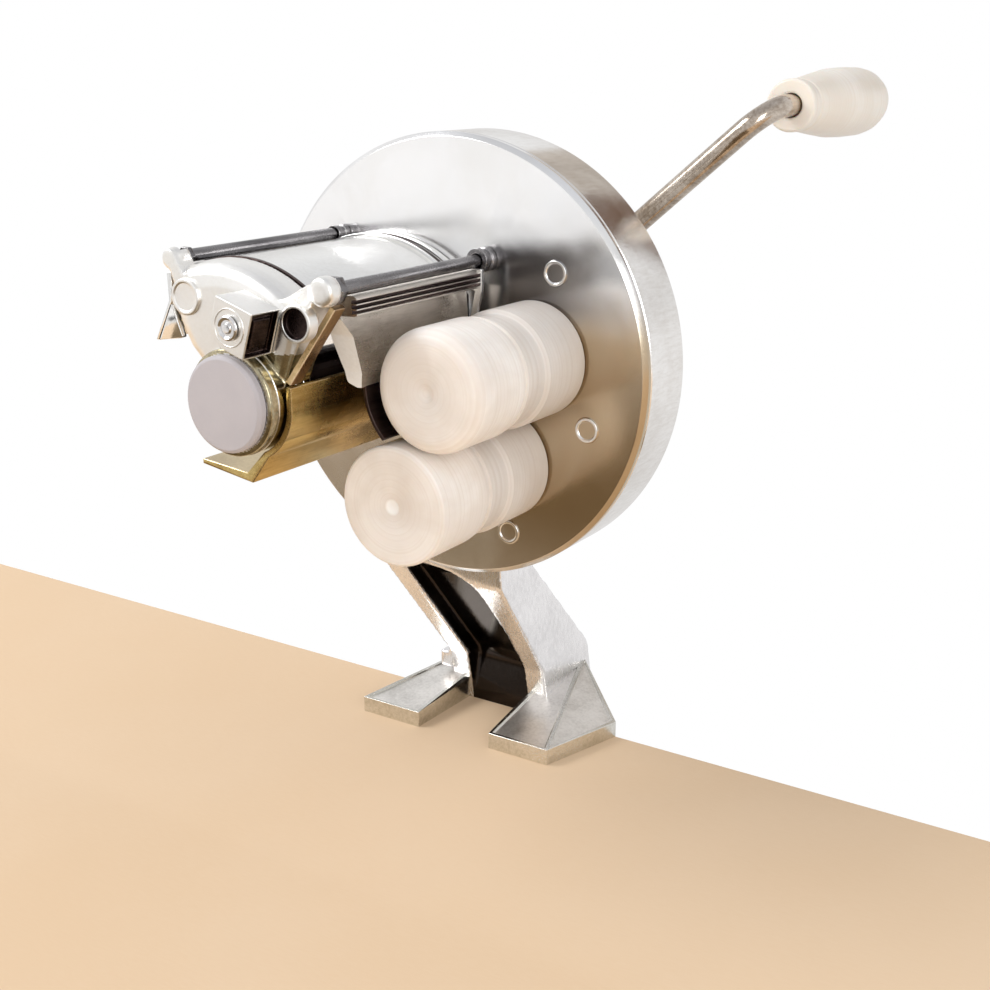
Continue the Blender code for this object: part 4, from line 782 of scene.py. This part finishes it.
def make_foot(side):
    """A low foot with recessed grained panels between bright rims."""
    right = side > 0
    front_outer = 40 if right else 41
    rear_outer = 50 if right else 36.8
    corners = []
    plan = ((15.5, -33, 6), (front_outer, -33, 6), (rear_outer, 0, 6), (21, 28, 14), (13.5, 28, 14))
    for x, y, top in plan:
        corners += mm((side * x, y, 0), (side * x, y, top))
    corners += mm((side * 13.5, -4, 8.8), (side * 21, -4, 8.8))
    work = bmesh.new()
    for corner in corners:
        work.verts.new(corner)
    found = bmesh.ops.convex_hull(work, input=work.verts)
    inside = [item for item in found["geom_interior"] if isinstance(item, bmesh.types.BMVert)]
    bmesh.ops.delete(work, geom=inside, context="VERTS")
    bmesh.ops.dissolve_limit(work, angle_limit=math.radians(2), verts=work.verts, edges=work.edges)
    bmesh.ops.recalc_face_normals(work, faces=work.faces)
    panels = [face for face in work.faces if face.normal.z > 0.25 and face.calc_area() > 80 * MM * MM]
    for face in panels:
        inset(work, face, (1.7, 0), (0.5, -0.7))
        face.material_index = 1
    name = "right_foot_casting" if right else "left_foot_casting"
    foot = finished(name, work, 20)
    edged(foot, 0.4 * MM, angle=20)
    rims = metal(name + "_rim", (0.80, 0.79, 0.75), (0.52, 0.50, 0.43), 0.14, 0.30)
    panel = metal(name + "_panel", (0.94, 0.91, 0.87), (0.64, 0.61, 0.57), 0.28, 0.46, grain=0.03 * MM,
                  cloud=80.0)
    foot.data.materials.append(rims)
    foot.data.materials.append(panel)
    dress(foot, rims, "polished_casting", body="frame")


# Rollers

def make_rollers():
    """The two pale rollers, with their waists, turned rings and centre dimples."""
    radius = 18.9
    front = -61
    waist = [(radius, -22)]
    for index in range(5):
        near = -23 - index * 2.6
        ridge = 1.15 if index < 4 else 0.25
        waist += [(radius - ridge, near - 0.5), (radius - 1.2, near - 1.0), (radius - 1.2, near - 2.0)]
    # The last value says whether a roller gets the painted highlight on its centre dimple
    rollers = (("top", TOP_ROLLER, 5.0, False), ("bottom", BOTTOM_ROLLER, 1.4, True))
    for key, centre, nose, centre_highlight in rollers:
        rear = [(0, -52), (4.3, -52), (4.3, 0), (radius - 0.8, 0), (radius, -0.8)]
        end = [
            (radius, front + nose),
            *arc((radius - nose, front + nose), nose, 0, -88, 10),
            (3.2, front - 0.02),
            (2.4, front + 0.3),
            (1.2, front + 0.7),
            (0, front + 0.8),
        ]
        soft = [0, 0, 0, 0.5, 0.5] + [0.4] * (len(waist) + 1) + [0] * len(end)
        profile = rear + waist + [(radius, -37)] + end
        roller = turned(key + "_roller_body", profile, centre, soft, DRUM_FRONT - 0.6 * MM, steps=FINE)
        look = plastic(key + "_roller_ivory", (0.97, 0.93, 0.89), (0.76, 0.68, 0.61), 0.36, 0.54, 0.12,
                       along=True, ends=centre, centre_highlight=centre_highlight)
        dress(roller, look, "ivory_plastic", key + "_roller")


# The head

def arch(above, below, start, end):
    """The outline of an arched strip, from how far in mm it goes above and below the cover's radius."""
    outer = arc(VAULT, VAULT_RADIUS + above * MM, start, end, 40)
    return outer + arc(VAULT, VAULT_RADIUS - below * MM, end, start, 40)


def make_vault():
    """The arched cover, with two raised bands near the drum, dark seams, and painted shade on its inner face.
    """
    shapes = [prism("sheet", arch(0, 2.5, 113, 52), HEAD_END + GAP, DRUM_FRONT - GAP, bevel=0.4 * MM,
                    segments=2)]
    for near, far in ((-37.6, -34.6), (-42.2, -40.8)):
        band = prism("band", arch(0.9, 0.5, 112, 53), near * MM, far * MM, bevel=0.35 * MM, segments=2)
        shapes.append(band)
    vault = dress(together("vault_sheet", shapes), CAST, "polished_casting", "vault_cover")
    # Painted shade on the cover's inner face
    painted(vault, SHADE, lambda face: off_axis(face, VAULT) < VAULT_RADIUS - 2.2 * MM)
    for index, (above, near, far) in enumerate(((0.35, -39.9, -38.2), (0.25, -106.6, -105.4))):
        outline = arch(above, 1, 111, 54)
        seam = prism(f"vault_seam_{index + 1}", outline, near * MM, far * MM, bevel=0.1 * MM, segments=1)
        dress(seam, SHADE, "polished_casting", body="frame")


def in_groove(face):
    """Whether a face of the side wall lies in the rail's grooves, which get painted shade."""
    inside = 16.5 * MM < face.center.x < 18.3 * MM
    return inside and 27.7 * MM < face.center.z - DRUM[1] < 31.75 * MM and abs(face.normal.y) < 0.5


def on_wall_end(face):
    """Whether a face of the side wall is on its front end, below the rail, which is pale with a painted
    highlight.
    """
    return face.center.y < -97 * MM and abs(face.normal.x) < 0.05 and face.center.z < DRUM[1] + 26.4 * MM


def make_wall():
    """The side wall: a grooved rail with painted shade in its grooves, a curved sheet below it with a painted
    highlight on its front end, and a lip in painted shade that follows the roller.
    """
    rail = [(4.2, 32.4), (6.0, 32.8), (17.6, 32.8)]
    for index in range(3):
        high = 31.7 - 1.5 * index
        rail += [(18.5, high + 0.35), (18.5, high), (16.7, high - 0.05), (16.7, high - 1.1)]
    rail += [(18.5, 27.7), (18.5, 27.2), (17.8, 26.9), (12.5, 26.6)]
    sheet = mm((12.0, 4.2), (8.4, 5.4), (6.6, 11.3), (4.8, 18.2), (4.2, 23.0))
    outline = [
        *moved(mm(*rail), DRUM),
        *arc(TOP_ROLLER, LIP_RADIUS, 170, 181, 8),
        *softened(moved(sheet, DRUM), 1.6, closed=False),
    ]
    wall = prism("side_wall_rail", outline, -105.5 * MM, -41 * MM)
    sweep = mm((-97.6, 130), (-98, 150), (-100.5, 161), (-106, 167.3), (-112, 168), (-112, 130))
    wall = cut(wall, [prism("sweep", softened(sweep, 3, steps=8), -20 * MM, 30 * MM, axis="X")])
    dress(wall, SATIN, "polished_casting", "side_wall")
    # Painted shade in the rail's grooves
    painted(wall, SHADE, in_groove)
    # Painted highlight on the wall's front end
    painted(wall, WHITE, on_wall_end)
    flange = mm((4.4, 33.2), (19.3, 33.2), (19.3, 26.0), (14.6, 8.0), (12.8, 8.0), (16.8, 26.0), (4.4, 26.0))
    flange = softened(moved(flange, DRUM), 0.5)
    flange = prism("wall_flange", flange, -42.4 * MM, -40.9 * MM, bevel=0.3 * MM)
    dress(flange, CAST, "polished_casting", body="frame")
    lip = arc(TOP_ROLLER, LIP_RADIUS, 180, 226, 20) + arc(TOP_ROLLER, LIP_RADIUS + 1.2 * MM, 226, 180, 20)
    lip = prism("wall_lip", lip, -96 * MM, -41 * MM, bevel=0.2 * MM, segments=2)
    # The lip is in near-black painted shade
    dress(lip, SHADE, "polished_casting", body="frame")


def make_trough():
    """The forming trough, with its chute and its feed window. Its golden sheet and pale chute are painted
    reflections.
    """
    rise = DRUM[1]
    corner = (-12 * MM, rise - 23.8 * MM)
    tip = (-32 * MM, rise - 20.7 * MM)
    radius = 18.6 * MM
    outline = [
        (4.4 * MM, rise + 7.1 * MM),
        *arc(SHAFT, radius, -8, -61, 30),
        corner,
        tip,
        (tip[0], tip[1] + 1.6 * MM),
        (corner[0] - 2 * MM, corner[1] + 3 * MM),
        *arc(SHAFT, radius - 2 * MM, -65, -8, 30),
        (2.4 * MM, rise + 7.1 * MM),
    ]
    trough = prism("trough_sheet", outline, BRACKET_END, DRUM_FRONT - GAP, bevel=0.3 * MM, segments=2,
                   angle=25)
    window = moved(mm((-32, -9), (-6, -9), (-6, 1), (-32, 1)), (DRUM_FRONT, rise))
    trough = cut(solid_of(trough), [prism("window", softened(window, 2), -6 * MM, 12 * MM, axis="X")])
    dress(trough, WARM, "polished_casting", "forming_trough")
    # Painted pale reflection on the chute
    painted(trough, CHUTE, lambda face: face.center.z < rise - 17.5 * MM and face.center.x < -10 * MM
            and face.normal.z > -0.5)


def bracket_face():
    """The bracket's front view, set a little inside the domed front's own arch."""
    return [
        *moved(mm((-28.5, 12.5), (-36.5, 23), (-40, 30)), DRUM),
        *arc(LEFT_ROD, 3.0 * MM, 265, 60, 10),
        *arc(VAULT, VAULT_RADIUS - 5 * MM, 107, 58, 24),
        *arc(RIGHT_ROD, 4.0 * MM, 120, -145, 12),
        *moved(mm((11.8, 31.5), (1.5, 8.5)), DRUM),
        *moved(mm((12, -8), (-12, -8)), SHAFT),
    ]


def visor():
    """The bracket's domed front, as one outline that shrinks towards its middle."""
    outline = arc(VAULT, VAULT_RADIUS, 107, 58, 30)
    outline += moved(mm((9, 28), (2, 8), (-29, 8), (-36.5, 15.5), (-40.5, 23), (-42, 29)), DRUM)
    middle = (-16 * MM, 156 * MM)
    rings = []
    layers = ((-107, 1.0), (-112.5, 0.995), (-115.2, 0.975), (-117.2, 0.93), (-118.4, 0.86), (-119, 0.74))
    for y, scale in layers:
        rings.append([
            (middle[0] + (x - middle[0]) * scale, y * MM, middle[1] + (z - middle[1]) * scale)
            for x, z in outline
        ])
    return lofted("visor", rings)


def make_bracket():
    """The domed end bracket with its ears, the front bearing and its beads, with dark olive painted shade on
    the barrel and on the plate beside it.
    """
    shapes = []
    reliefs = []
    holes = []
    for _, centre, radius, near, *_ in RODS:
        ear = [(0, 0), (radius, 0), (radius, EAR_THICKNESS), (0, EAR_THICKNESS)]
        shapes.append(turned("ear", ear, centre, (0, 2, 0.8, 0), near, steps=SMALL))
        reliefs.append(plug((radius + 0.6) * MM, near + EAR_THICKNESS * MM, INSIDE_HEAD, centre, ROUND))
        holes.append(plug(ROD_BORE, near + 1.5 * MM, INSIDE_HEAD, centre))
    shapes.append(prism("plate", bracket_face(), -117.4 * MM, HEAD_END))
    shapes.append(visor())
    barrel = BEARING_RADIUS / MM
    length = (HEAD_END - GAP - BEARING_END) / MM
    bearing = [(0, length), (barrel, length), (barrel, 0), (0, 0)]
    shapes.append(turned("bearing", bearing, SHAFT, (0, 0.3, 0.8, 0), BEARING_END, steps=FINE))
    holes.append(plug(4.8 * MM, -122.5 * MM, INSIDE_HEAD, SHAFT))
    bracket = cut(fused("bracket_casting", shapes, 0.45 * MM, 3, reliefs), holes)
    saddle = moved(mm((-2.2, 0), (2.2, 0), (2.2, 6), (-2.2, 6)), LEFT_ROD)
    bracket = cut(bracket, [prism("saddle", saddle, RODS[0][3] + 1.5 * MM, INSIDE_HEAD)])
    dress(bracket, CREAM, "polished_casting", "end_bracket")
    # Painted shade on the barrel, and low on the right of the plate beside it
    painted(bracket, BARREL_SHADE, lambda face: face.center.y < HEAD_END - 1 * MM
            and 14.6 * MM < off_axis(face, SHAFT) < 16.3 * MM)
    painted(bracket, BARREL_SHADE, lambda face: face.center.x > -9 * MM and face.center.z < DRUM[1] + 16.5 * MM
            and off_axis(face, SHAFT) > 16.3 * MM)
    beads = []
    for y in (-109.5, -113.0, -121.5):
        beads.append(ring_of("bead", BEARING_RADIUS, 0.28 * MM, SHAFT, y * MM, FINE, 3))
    dress(together("bearing_beads", beads), CAST, "polished_casting", body="frame")


def make_cap():
    """The grey plug in the front of the bearing."""
    seat = -GAP / MM
    profile = [(0, seat), (14.4, seat), (14.4, -2.2), (13.4, -3), (0, -3)]
    cap = turned("cap_plug", profile, SHAFT, (0, 0, 0.7, 0.7, 0), BEARING_END, steps=FINE)
    dress(cap, GREY, "grey_plastic", "bearing_cap")


def make_block():
    """The clamp block with a square recess in its side, its bolt and ring, and the bosses beside it. Painted
    shade darkens the recess and the right boss's dish.
    """
    spot = (-6.5 * MM, DRUM[1] + 25.3 * MM)
    near = BRACKET_END - GAP - 12 * MM
    outline = spun(mm((-7, 7), (7, 7), (7, -7), (-2.5, -7), (-7, -2.5)), -18)
    block = prism("block_body", moved(outline, spot), near, BRACKET_END - GAP)
    work = bmesh.new()
    work.from_mesh(block.data)
    side = max(work.faces, key=lambda face: face.normal.x)
    inset(work, side, (0.9, 0))
    # Painted shade on the recessed side face
    side.material_index = 1
    inset(work, side, (0.3, -1.6), (2.2, 0), (0.4, 0.9))
    work.to_mesh(block.data)
    work.free()
    edged(block, 0.45 * MM, angle=25)
    block.data.materials.append(CREAM)
    block.data.materials.append(SHADE)
    dress(block, CREAM, "polished_casting", "clamp_block")
    seat = -GAP / MM
    head = [(0, seat), (3.6, seat), (3.6, -0.9), (3.1, -1.3), (2.4, -0.7), (1.6, -0.7), (1.3, -1.2),
            (0, -1.2)]
    dress(turned("block_bolt_head", head, spot, 0.2, near, steps=SMALL), BRIGHT, "steel", "block_bolt")
    ring = ring_of("block_ring", 5.4 * MM, 0.22 * MM, spot, near)
    dress(ring, CREAM, "polished_casting", body="frame")
    for key, place, height, dish in (("left", (-34.5, 30.0), 0.6, 0.35), ("right", (8.5, 26.2), 1.6, 1.4)):
        centre = moved(mm(place), DRUM)[0]
        top = seat - height
        floor = top + dish
        boss = [(0, 2), (5.5, 2), (5.5, top + 0.2), (5.1, top), (4.5, top), (4.1, floor), (0, floor)]
        boss = turned(key + "_boss", boss, centre, 0.25, BRACKET_END, steps=SMALL)
        dress(boss, CREAM, "polished_casting", key + "_bracket_screw")
        # Painted shade in the right boss's dish
        if key == "right":
            painted(boss, SHADE, lambda face: off_axis(face, centre) < 4.4 * MM)


def make_rods():
    """The tie rods, screwed into the ears and locked by nuts, with collars at the drum."""
    for key, centre, _, near, nut_radius, nut_height, collar in RODS:
        start = near + 1.8 * MM
        length = (-30.3 * MM - start) / MM
        rod = [(0, 0), (1.7, 0), (2.1, 0.4), (2.1, length), (0, length)]
        dress(turned(key + "_rod", rod, centre, 0.2, start, steps=SMALL), DARK, "steel", key + "_tie_rod")
        seat = near + EAR_THICKNESS * MM + GAP
        hexagon = arc(centre, nut_radius * MM, 0, 300, 5)
        nut = prism(key + "_nut", hexagon, seat, seat + nut_height * MM, bevel=0.3 * MM)
        nut = cut(solid_of(nut), [plug(ROD_BORE, -140 * MM, INSIDE_HEAD, centre)])
        dress(nut, DARK, "steel", key + "_rod_nut")
        neck = collar - 0.6
        ring = [(2.4, 0), (collar, 0), (collar, -1.6), (neck, -2.0), (neck, -4.0), (collar, -4.4),
                (collar, -6), (2.4, -6)]
        ring = turned(key + "_collar", ring, centre, 0.15, DRUM_FRONT - GAP, steps=SMALL)
        dress(ring, DARK, "steel", key + "_rod_collar")


def make_hood():
    """The thin sheet under the left rod, with its folded gusset."""
    near = -116 * MM
    sheet = mm((-45.2, 36.3), (-45, 27.5), (-51.5, 15), (-49.7, 15), (-43.2, 27.5), (-43.4, 36.3))
    sheet = prism("sheet", moved(sheet, DRUM), near, -36 * MM, bevel=0.3 * MM, segments=2)
    fold = softened(moved(mm((-44.1, 27.5), (-50.6, 15), (-40, 16.6)), DRUM), 0.8)
    fold = prism("fold", fold, near, near + 1.8 * MM, bevel=0.3 * MM, segments=2)
    dress(together("hood_sheet", [sheet, fold]), CAST, "polished_casting", "left_hood")


def make_strap():
    """The flat strap that leans from the right ear down to the trough, with painted shade on its sides and
    painted light on its left face.
    """
    top = polar(RIGHT_ROD, 5.1 * MM, -95)
    foot = (3.4 * MM, DRUM[1] + 8.2 * MM)
    strap = prism("strap_sheet", strip(top, foot, 1.1 * MM), BRACKET_END, BRACKET_END + 5 * MM)
    for vertex in strap.data.vertices:
        vertex.co.y += 6.5 * MM * (vertex.co.z - foot[1]) / (top[1] - foot[1])
    edged(strap, 0.4 * MM)
    # Painted shade: dark brown on the strap's sides; the front gets the golden metal
    edge = metal("strap_painted_shade", (0.42, 0.26, 0.12), (0.20, 0.11, 0.05), 0.20, 0.36)
    front = metal("strap_metal", (0.80, 0.59, 0.32), (0.52, 0.34, 0.14), 0.22, 0.36, metallic=0.5)
    dress(strap, edge, "polished_casting", "right_strap")
    painted(strap, front, lambda face: face.normal.y < -0.5)
    # Painted light: cream on the strap's left face
    painted(strap, CREAM, lambda face: face.normal.x < -0.5)


# Crank

def make_crank():
    """The hub, bent rod and turned grip."""
    along = Vector((math.cos(CRANK_TURN), 0, math.sin(CRANK_TURN)))
    out = Vector((0, 1, 0))
    centre = Vector((SHAFT[0], CRANK_PLANE, SHAFT[1]))
    profile = [(6.3, -6.5), (8.6, -6.5), (9.5, -5.6), (9.5, 5.6), (8.6, 6.5), (6.3, 6.5)]
    socket = bar("socket", [centre + along * 3 * MM, centre + along * 20 * MM], 4.1 * MM)
    hub = cut(turned("hub_body", profile, SHAFT, 0.4, CRANK_PLANE), [socket])
    dress(hub, HUB, "steel", "crank_hub")
    corner = centre + along * (CRANK_THROW - CRANK_BEND) + out * CRANK_BEND
    path = [centre + along * 7.6 * MM]
    for i in range(17):
        angle = math.radians(90 * i / 16)
        path.append(corner + along * CRANK_BEND * math.sin(angle) - out * CRANK_BEND * math.cos(angle))
    path.append(centre + along * CRANK_THROW + out * 95.6 * MM)
    dress(bar("crank_bar", path, 3.8 * MM, fineness=12), CRANK, "steel", "crank_rod")
    shape = [(4.1, 0), (8.4, 0), (9, 0.8), (9, 6), (8.5, 7.2), (9, 8.4), (10.6, 22), (12.1, 36), (12.5, 48),
             (12.5, 62), (12, 68), (10.6, 74), (9, 77.4), (4.1, 78)]
    grip = turned("grip_body", shape, GRIP, 1.2, CRANK_PLANE + CRANK_BEND + 4 * MM)
    dress(grip, GRIP_IVORY, "ivory_plastic", "crank_grip")


# Table clamp

SCREW_TOP = -35.8 * MM
SCREW_HEAD = (CLAMP[1], SCREW_TOP - 65 * MM)


def thread():
    """The clamp screw's thread, a strip wound down the core."""
    turns = 20
    steps = 32
    pitch = 2 * MM
    work = bmesh.new()
    rows = []
    for index in range(turns * steps + 1):
        height = SCREW_TOP - 4 * MM - pitch * index / steps
        row = []
        for radius, offset in ((4.2, 0.5), (5.0, 0.15), (5.0, -0.15), (4.2, -0.5)):
            spot = polar(CLAMP, radius * MM, 360 * index / steps)
            row.append(work.verts.new((*spot, height + offset * pitch)))
        rows.append(row)
    for first, second in zip(rows, rows[1:]):
        for i in range(3):
            work.faces.new([first[i], first[i + 1], second[i + 1], second[i]])
    return finished("thread", work)


def make_clamp():
    """The threaded screw, pad, T-bar and knobs under the table."""
    core = [(0, 3.2), (3.6, 3.2), (3.6, 0), (4.6, 0), (4.6, -3), (4.2, -3.6), (4.2, -58), (6.9, -58),
            (7.5, -58.8), (7.5, -71.2), (6.9, -72), (0, -72)]
    hole = plug(2.9 * MM, -32 * MM, 32 * MM, SCREW_HEAD, axis="X")
    core = cut(turned("core", core, CLAMP, 0.3, SCREW_TOP, axis="Z"), [hole])
    dress(together("screw_body", [core, thread()]), BRIGHT, "steel", "clamp_screw")
    pad = [(0, 0), (12.4, 0), (13, -0.6), (13, -3.7), (7, -5.5), (3.9, -5.5), (3.9, -2), (0, -2)]
    dress(turned("pad_disc", pad, CLAMP, 0.4, -30 * MM, axis="Z"), HUB, "steel", "clamp_pad")
    shank = [(0, -32), (2.6, -32), (2.6, 32), (0, 32)]
    shank = turned("tbar_rod", shank, SCREW_HEAD, 0.2, axis="X", steps=SMALL)
    dress(shank, BRIGHT, "steel", "clamp_tbar")
    for key, near in (("left", -40.3), ("right", 32.3)):
        knob = [(0, 0), (3.4, 0), (5, 1.8), (5, 6.2), (3.4, 8), (0, 8)]
        knob = turned(key + "_knob", knob, SCREW_HEAD, 1.2, near * MM, axis="X", steps=SMALL)
        dress(knob, HUB, "steel", key + "_tbar_knob")


def finish_nodes():
    """Better materials for the CAD nodes that stay, with near-black painted shade on the cutter."""
    for name, node in frame["nodes"].items():
        if "bush" in name:
            look = BRONZE
        # The cutter gets near-black painted shade
        elif "cutter" in name:
            look = SHADE
        elif "gear" in name or "pinion" in name:
            look = HUB
        else:
            look = BRIGHT
        node.data.materials.clear()
        node.data.materials.append(look)


# Stage, light and camera

def slab_look():
    """A plain pale matt surface with a faint variation."""
    look = Look("slab_surface")
    fine = look.noise(220.0, 4.0, place=look.stretched((1.0, 6.0, 6.0)))
    broad = look.noise(6.0, 3.0)
    share = look.band(look.plus(look.times(fine, 0.4), broad), 0.45, 0.95, 0.0, 0.35)
    colour = look.mix(share, (0.74, 0.54, 0.35), (0.80, 0.63, 0.46))
    look.set(Base_Color=colour, Roughness=0.75, Normal=look.bump(fine, 0.05 * MM, 0.3))
    return look.material


def make_stage():
    """The pale slab that the press stands on and is clamped to."""
    outline = softened(mm((-1400, -29.7), (1400, -29.7), (1400, 0), (-1400, 0)), 1.5)
    slab = prism("slab", outline, -620 * MM, 0.0)
    slab.data.materials.append(slab_look())


def aimed(place, target, axis):
    """The rotation that points an axis from a place to a target."""
    return (Vector(target) - Vector(place)).to_track_quat(axis, "Y").to_euler()


def light(name, place, target, size, power):
    """A soft rectangular lamp aimed at a point."""
    lamp = bpy.data.lights.new(name, "AREA")
    lamp.shape = "RECTANGLE"
    lamp.size, lamp.size_y = size
    lamp.energy = power
    holder = bpy.data.objects.new(name, lamp)
    bpy.context.scene.collection.objects.link(holder)
    holder.location = place
    holder.rotation_euler = aimed(place, target, "-Z")
    holder.visible_camera = False


def make_world():
    """White behind the press for the camera, and a soft room for light and reflections."""
    world = bpy.data.worlds.new("studio")
    bpy.context.scene.world = world
    world.use_nodes = True
    world.node_tree.nodes.clear()
    room = Nodes(world.node_tree)
    direction = room.add("ShaderNodeTexCoord").outputs["Generated"]
    up = room.add("ShaderNodeSeparateXYZ", {0: direction}).outputs["Z"]
    height = room.add("ShaderNodeMapRange", {"Value": up, "From Min": -1.0}).outputs["Result"]
    ramp = room.add("ShaderNodeValToRGB", {"Fac": height})
    stops = ((0.0, (0.62, 0.60, 0.58)), (0.38, (1.0, 0.99, 0.98)), (0.50, (0.96, 0.95, 0.94)),
             (0.58, (0.84, 0.83, 0.82)), (0.72, (1.0, 1.0, 1.0)), (1.0, (0.66, 0.67, 0.70)))
    elements = ramp.color_ramp.elements
    while len(elements) < len(stops):
        elements.new(0.5)
    for element, (position, colour) in zip(elements, stops):
        element.position = position
        element.color = (*colour, 1.0)
    soft = room.add("ShaderNodeBackground", {"Color": ramp.outputs["Color"], "Strength": 0.88}).outputs[0]
    white = room.add("ShaderNodeBackground", {"Color": (1.0, 1.0, 1.0)}).outputs[0]
    seen = room.add("ShaderNodeLightPath").outputs["Is Camera Ray"]
    chosen = room.add("ShaderNodeMixShader", {0: seen, 1: soft, 2: white}).outputs[0]
    room.add("ShaderNodeOutputWorld", {"Surface": chosen})


def card(name, place, size, colour, target=None):
    """A flat glowing board that shows only in reflections. Without a target it lies flat."""
    work = bmesh.new()
    for x, y in ((-0.5, -0.5), (0.5, -0.5), (0.5, 0.5), (-0.5, 0.5)):
        work.verts.new((x * size[0], y * size[1], 0))
    work.faces.new(work.verts)
    board = finished(name, work)
    board.location = place
    if target:
        board.rotation_euler = aimed(place, target, "Z")
    look = Look(name)
    dimmed = [0.8 * value for value in colour]
    glow = look.mix(look.band(look.noise(9.0, 2.0), 0.3, 0.7), dimmed, colour)
    look.set(Base_Color=(0.0, 0.0, 0.0), Roughness=1.0, Emission_Color=glow, Emission_Strength=1.0)
    board.data.materials.append(look.material)
    board.visible_camera = False
    board.visible_shadow = False
    board.visible_diffuse = False
    board.visible_transmission = False


def make_lights():
    """Large soft lamps above and at the sides, and boards for the metal to reflect."""
    middle = (0.0, -0.05, 0.12)
    light("top_left", (-0.7, -0.5, 0.9), middle, (0.6, 0.5), 7)
    light("front_right", (0.9, -0.8, 0.5), middle, (0.4, 0.6), 3.5)
    card("warm_board", (0.195, 0.58, 0.455), (0.20, 0.30), (0.16, 0.09, 0.055), middle)
    card("beige_board", (-0.05, 0.60, 0.50), (0.28, 0.26), (0.56, 0.50, 0.44), middle)
    card("dark_strip", (-0.47, -0.90, 0.028), (0.32, 0.105), (0.008, 0.008, 0.012), (0.04, 0.0, 0.028))
    card("white_far", (-0.47, -0.90, 0.18), (0.60, 0.19), (1.12, 1.11, 1.10), (0.04, 0.0, 0.18))
    card("brown_table", (-0.04, -0.385, 1.5 * MM), (0.58, 0.51), (0.235, 0.16, 0.08))
    card("white_low", (-0.52, -0.53, 0.022), (0.50, 0.04), (1.0, 0.99, 0.97), (0.0, -0.08, 0.022))
    card("white_high", (-0.62, -0.40, 0.10), (0.36, 0.17), (1.0, 0.99, 0.97), (0.0, -0.08, 0.10))


def make_camera():
    """The camera at the photograph's angle, with the focal length as pixels over the picture's width."""
    across = math.radians(32.8)
    up = math.radians(17.1)
    distance = 476 * MM
    focal_share = 1401 / 990
    sensor = 36
    target = Vector((19.1 * MM, -34 * MM, 96.7 * MM))
    away = Vector((math.sin(across) * math.cos(up), -math.cos(across) * math.cos(up), math.sin(up)))
    data = bpy.data.cameras.new("camera")
    data.lens = focal_share * sensor
    data.sensor_width = sensor
    data.clip_start = 10 * MM
    camera = bpy.data.objects.new("camera", data)
    bpy.context.scene.collection.objects.link(camera)
    camera.location = target + away * distance
    camera.rotation_euler = (-away).to_track_quat("-Z", "Y").to_euler()
    bpy.context.scene.camera = camera
    bpy.context.scene.view_settings.view_transform = "Standard"


finish_nodes()
make_drum()
make_cover()
make_stand()
make_rollers()
make_vault()
make_wall()
make_trough()
make_bracket()
make_cap()
make_block()
make_rods()
make_hood()
make_strap()
make_crank()
make_clamp()
make_stage()
make_world()
make_lights()
make_camera()
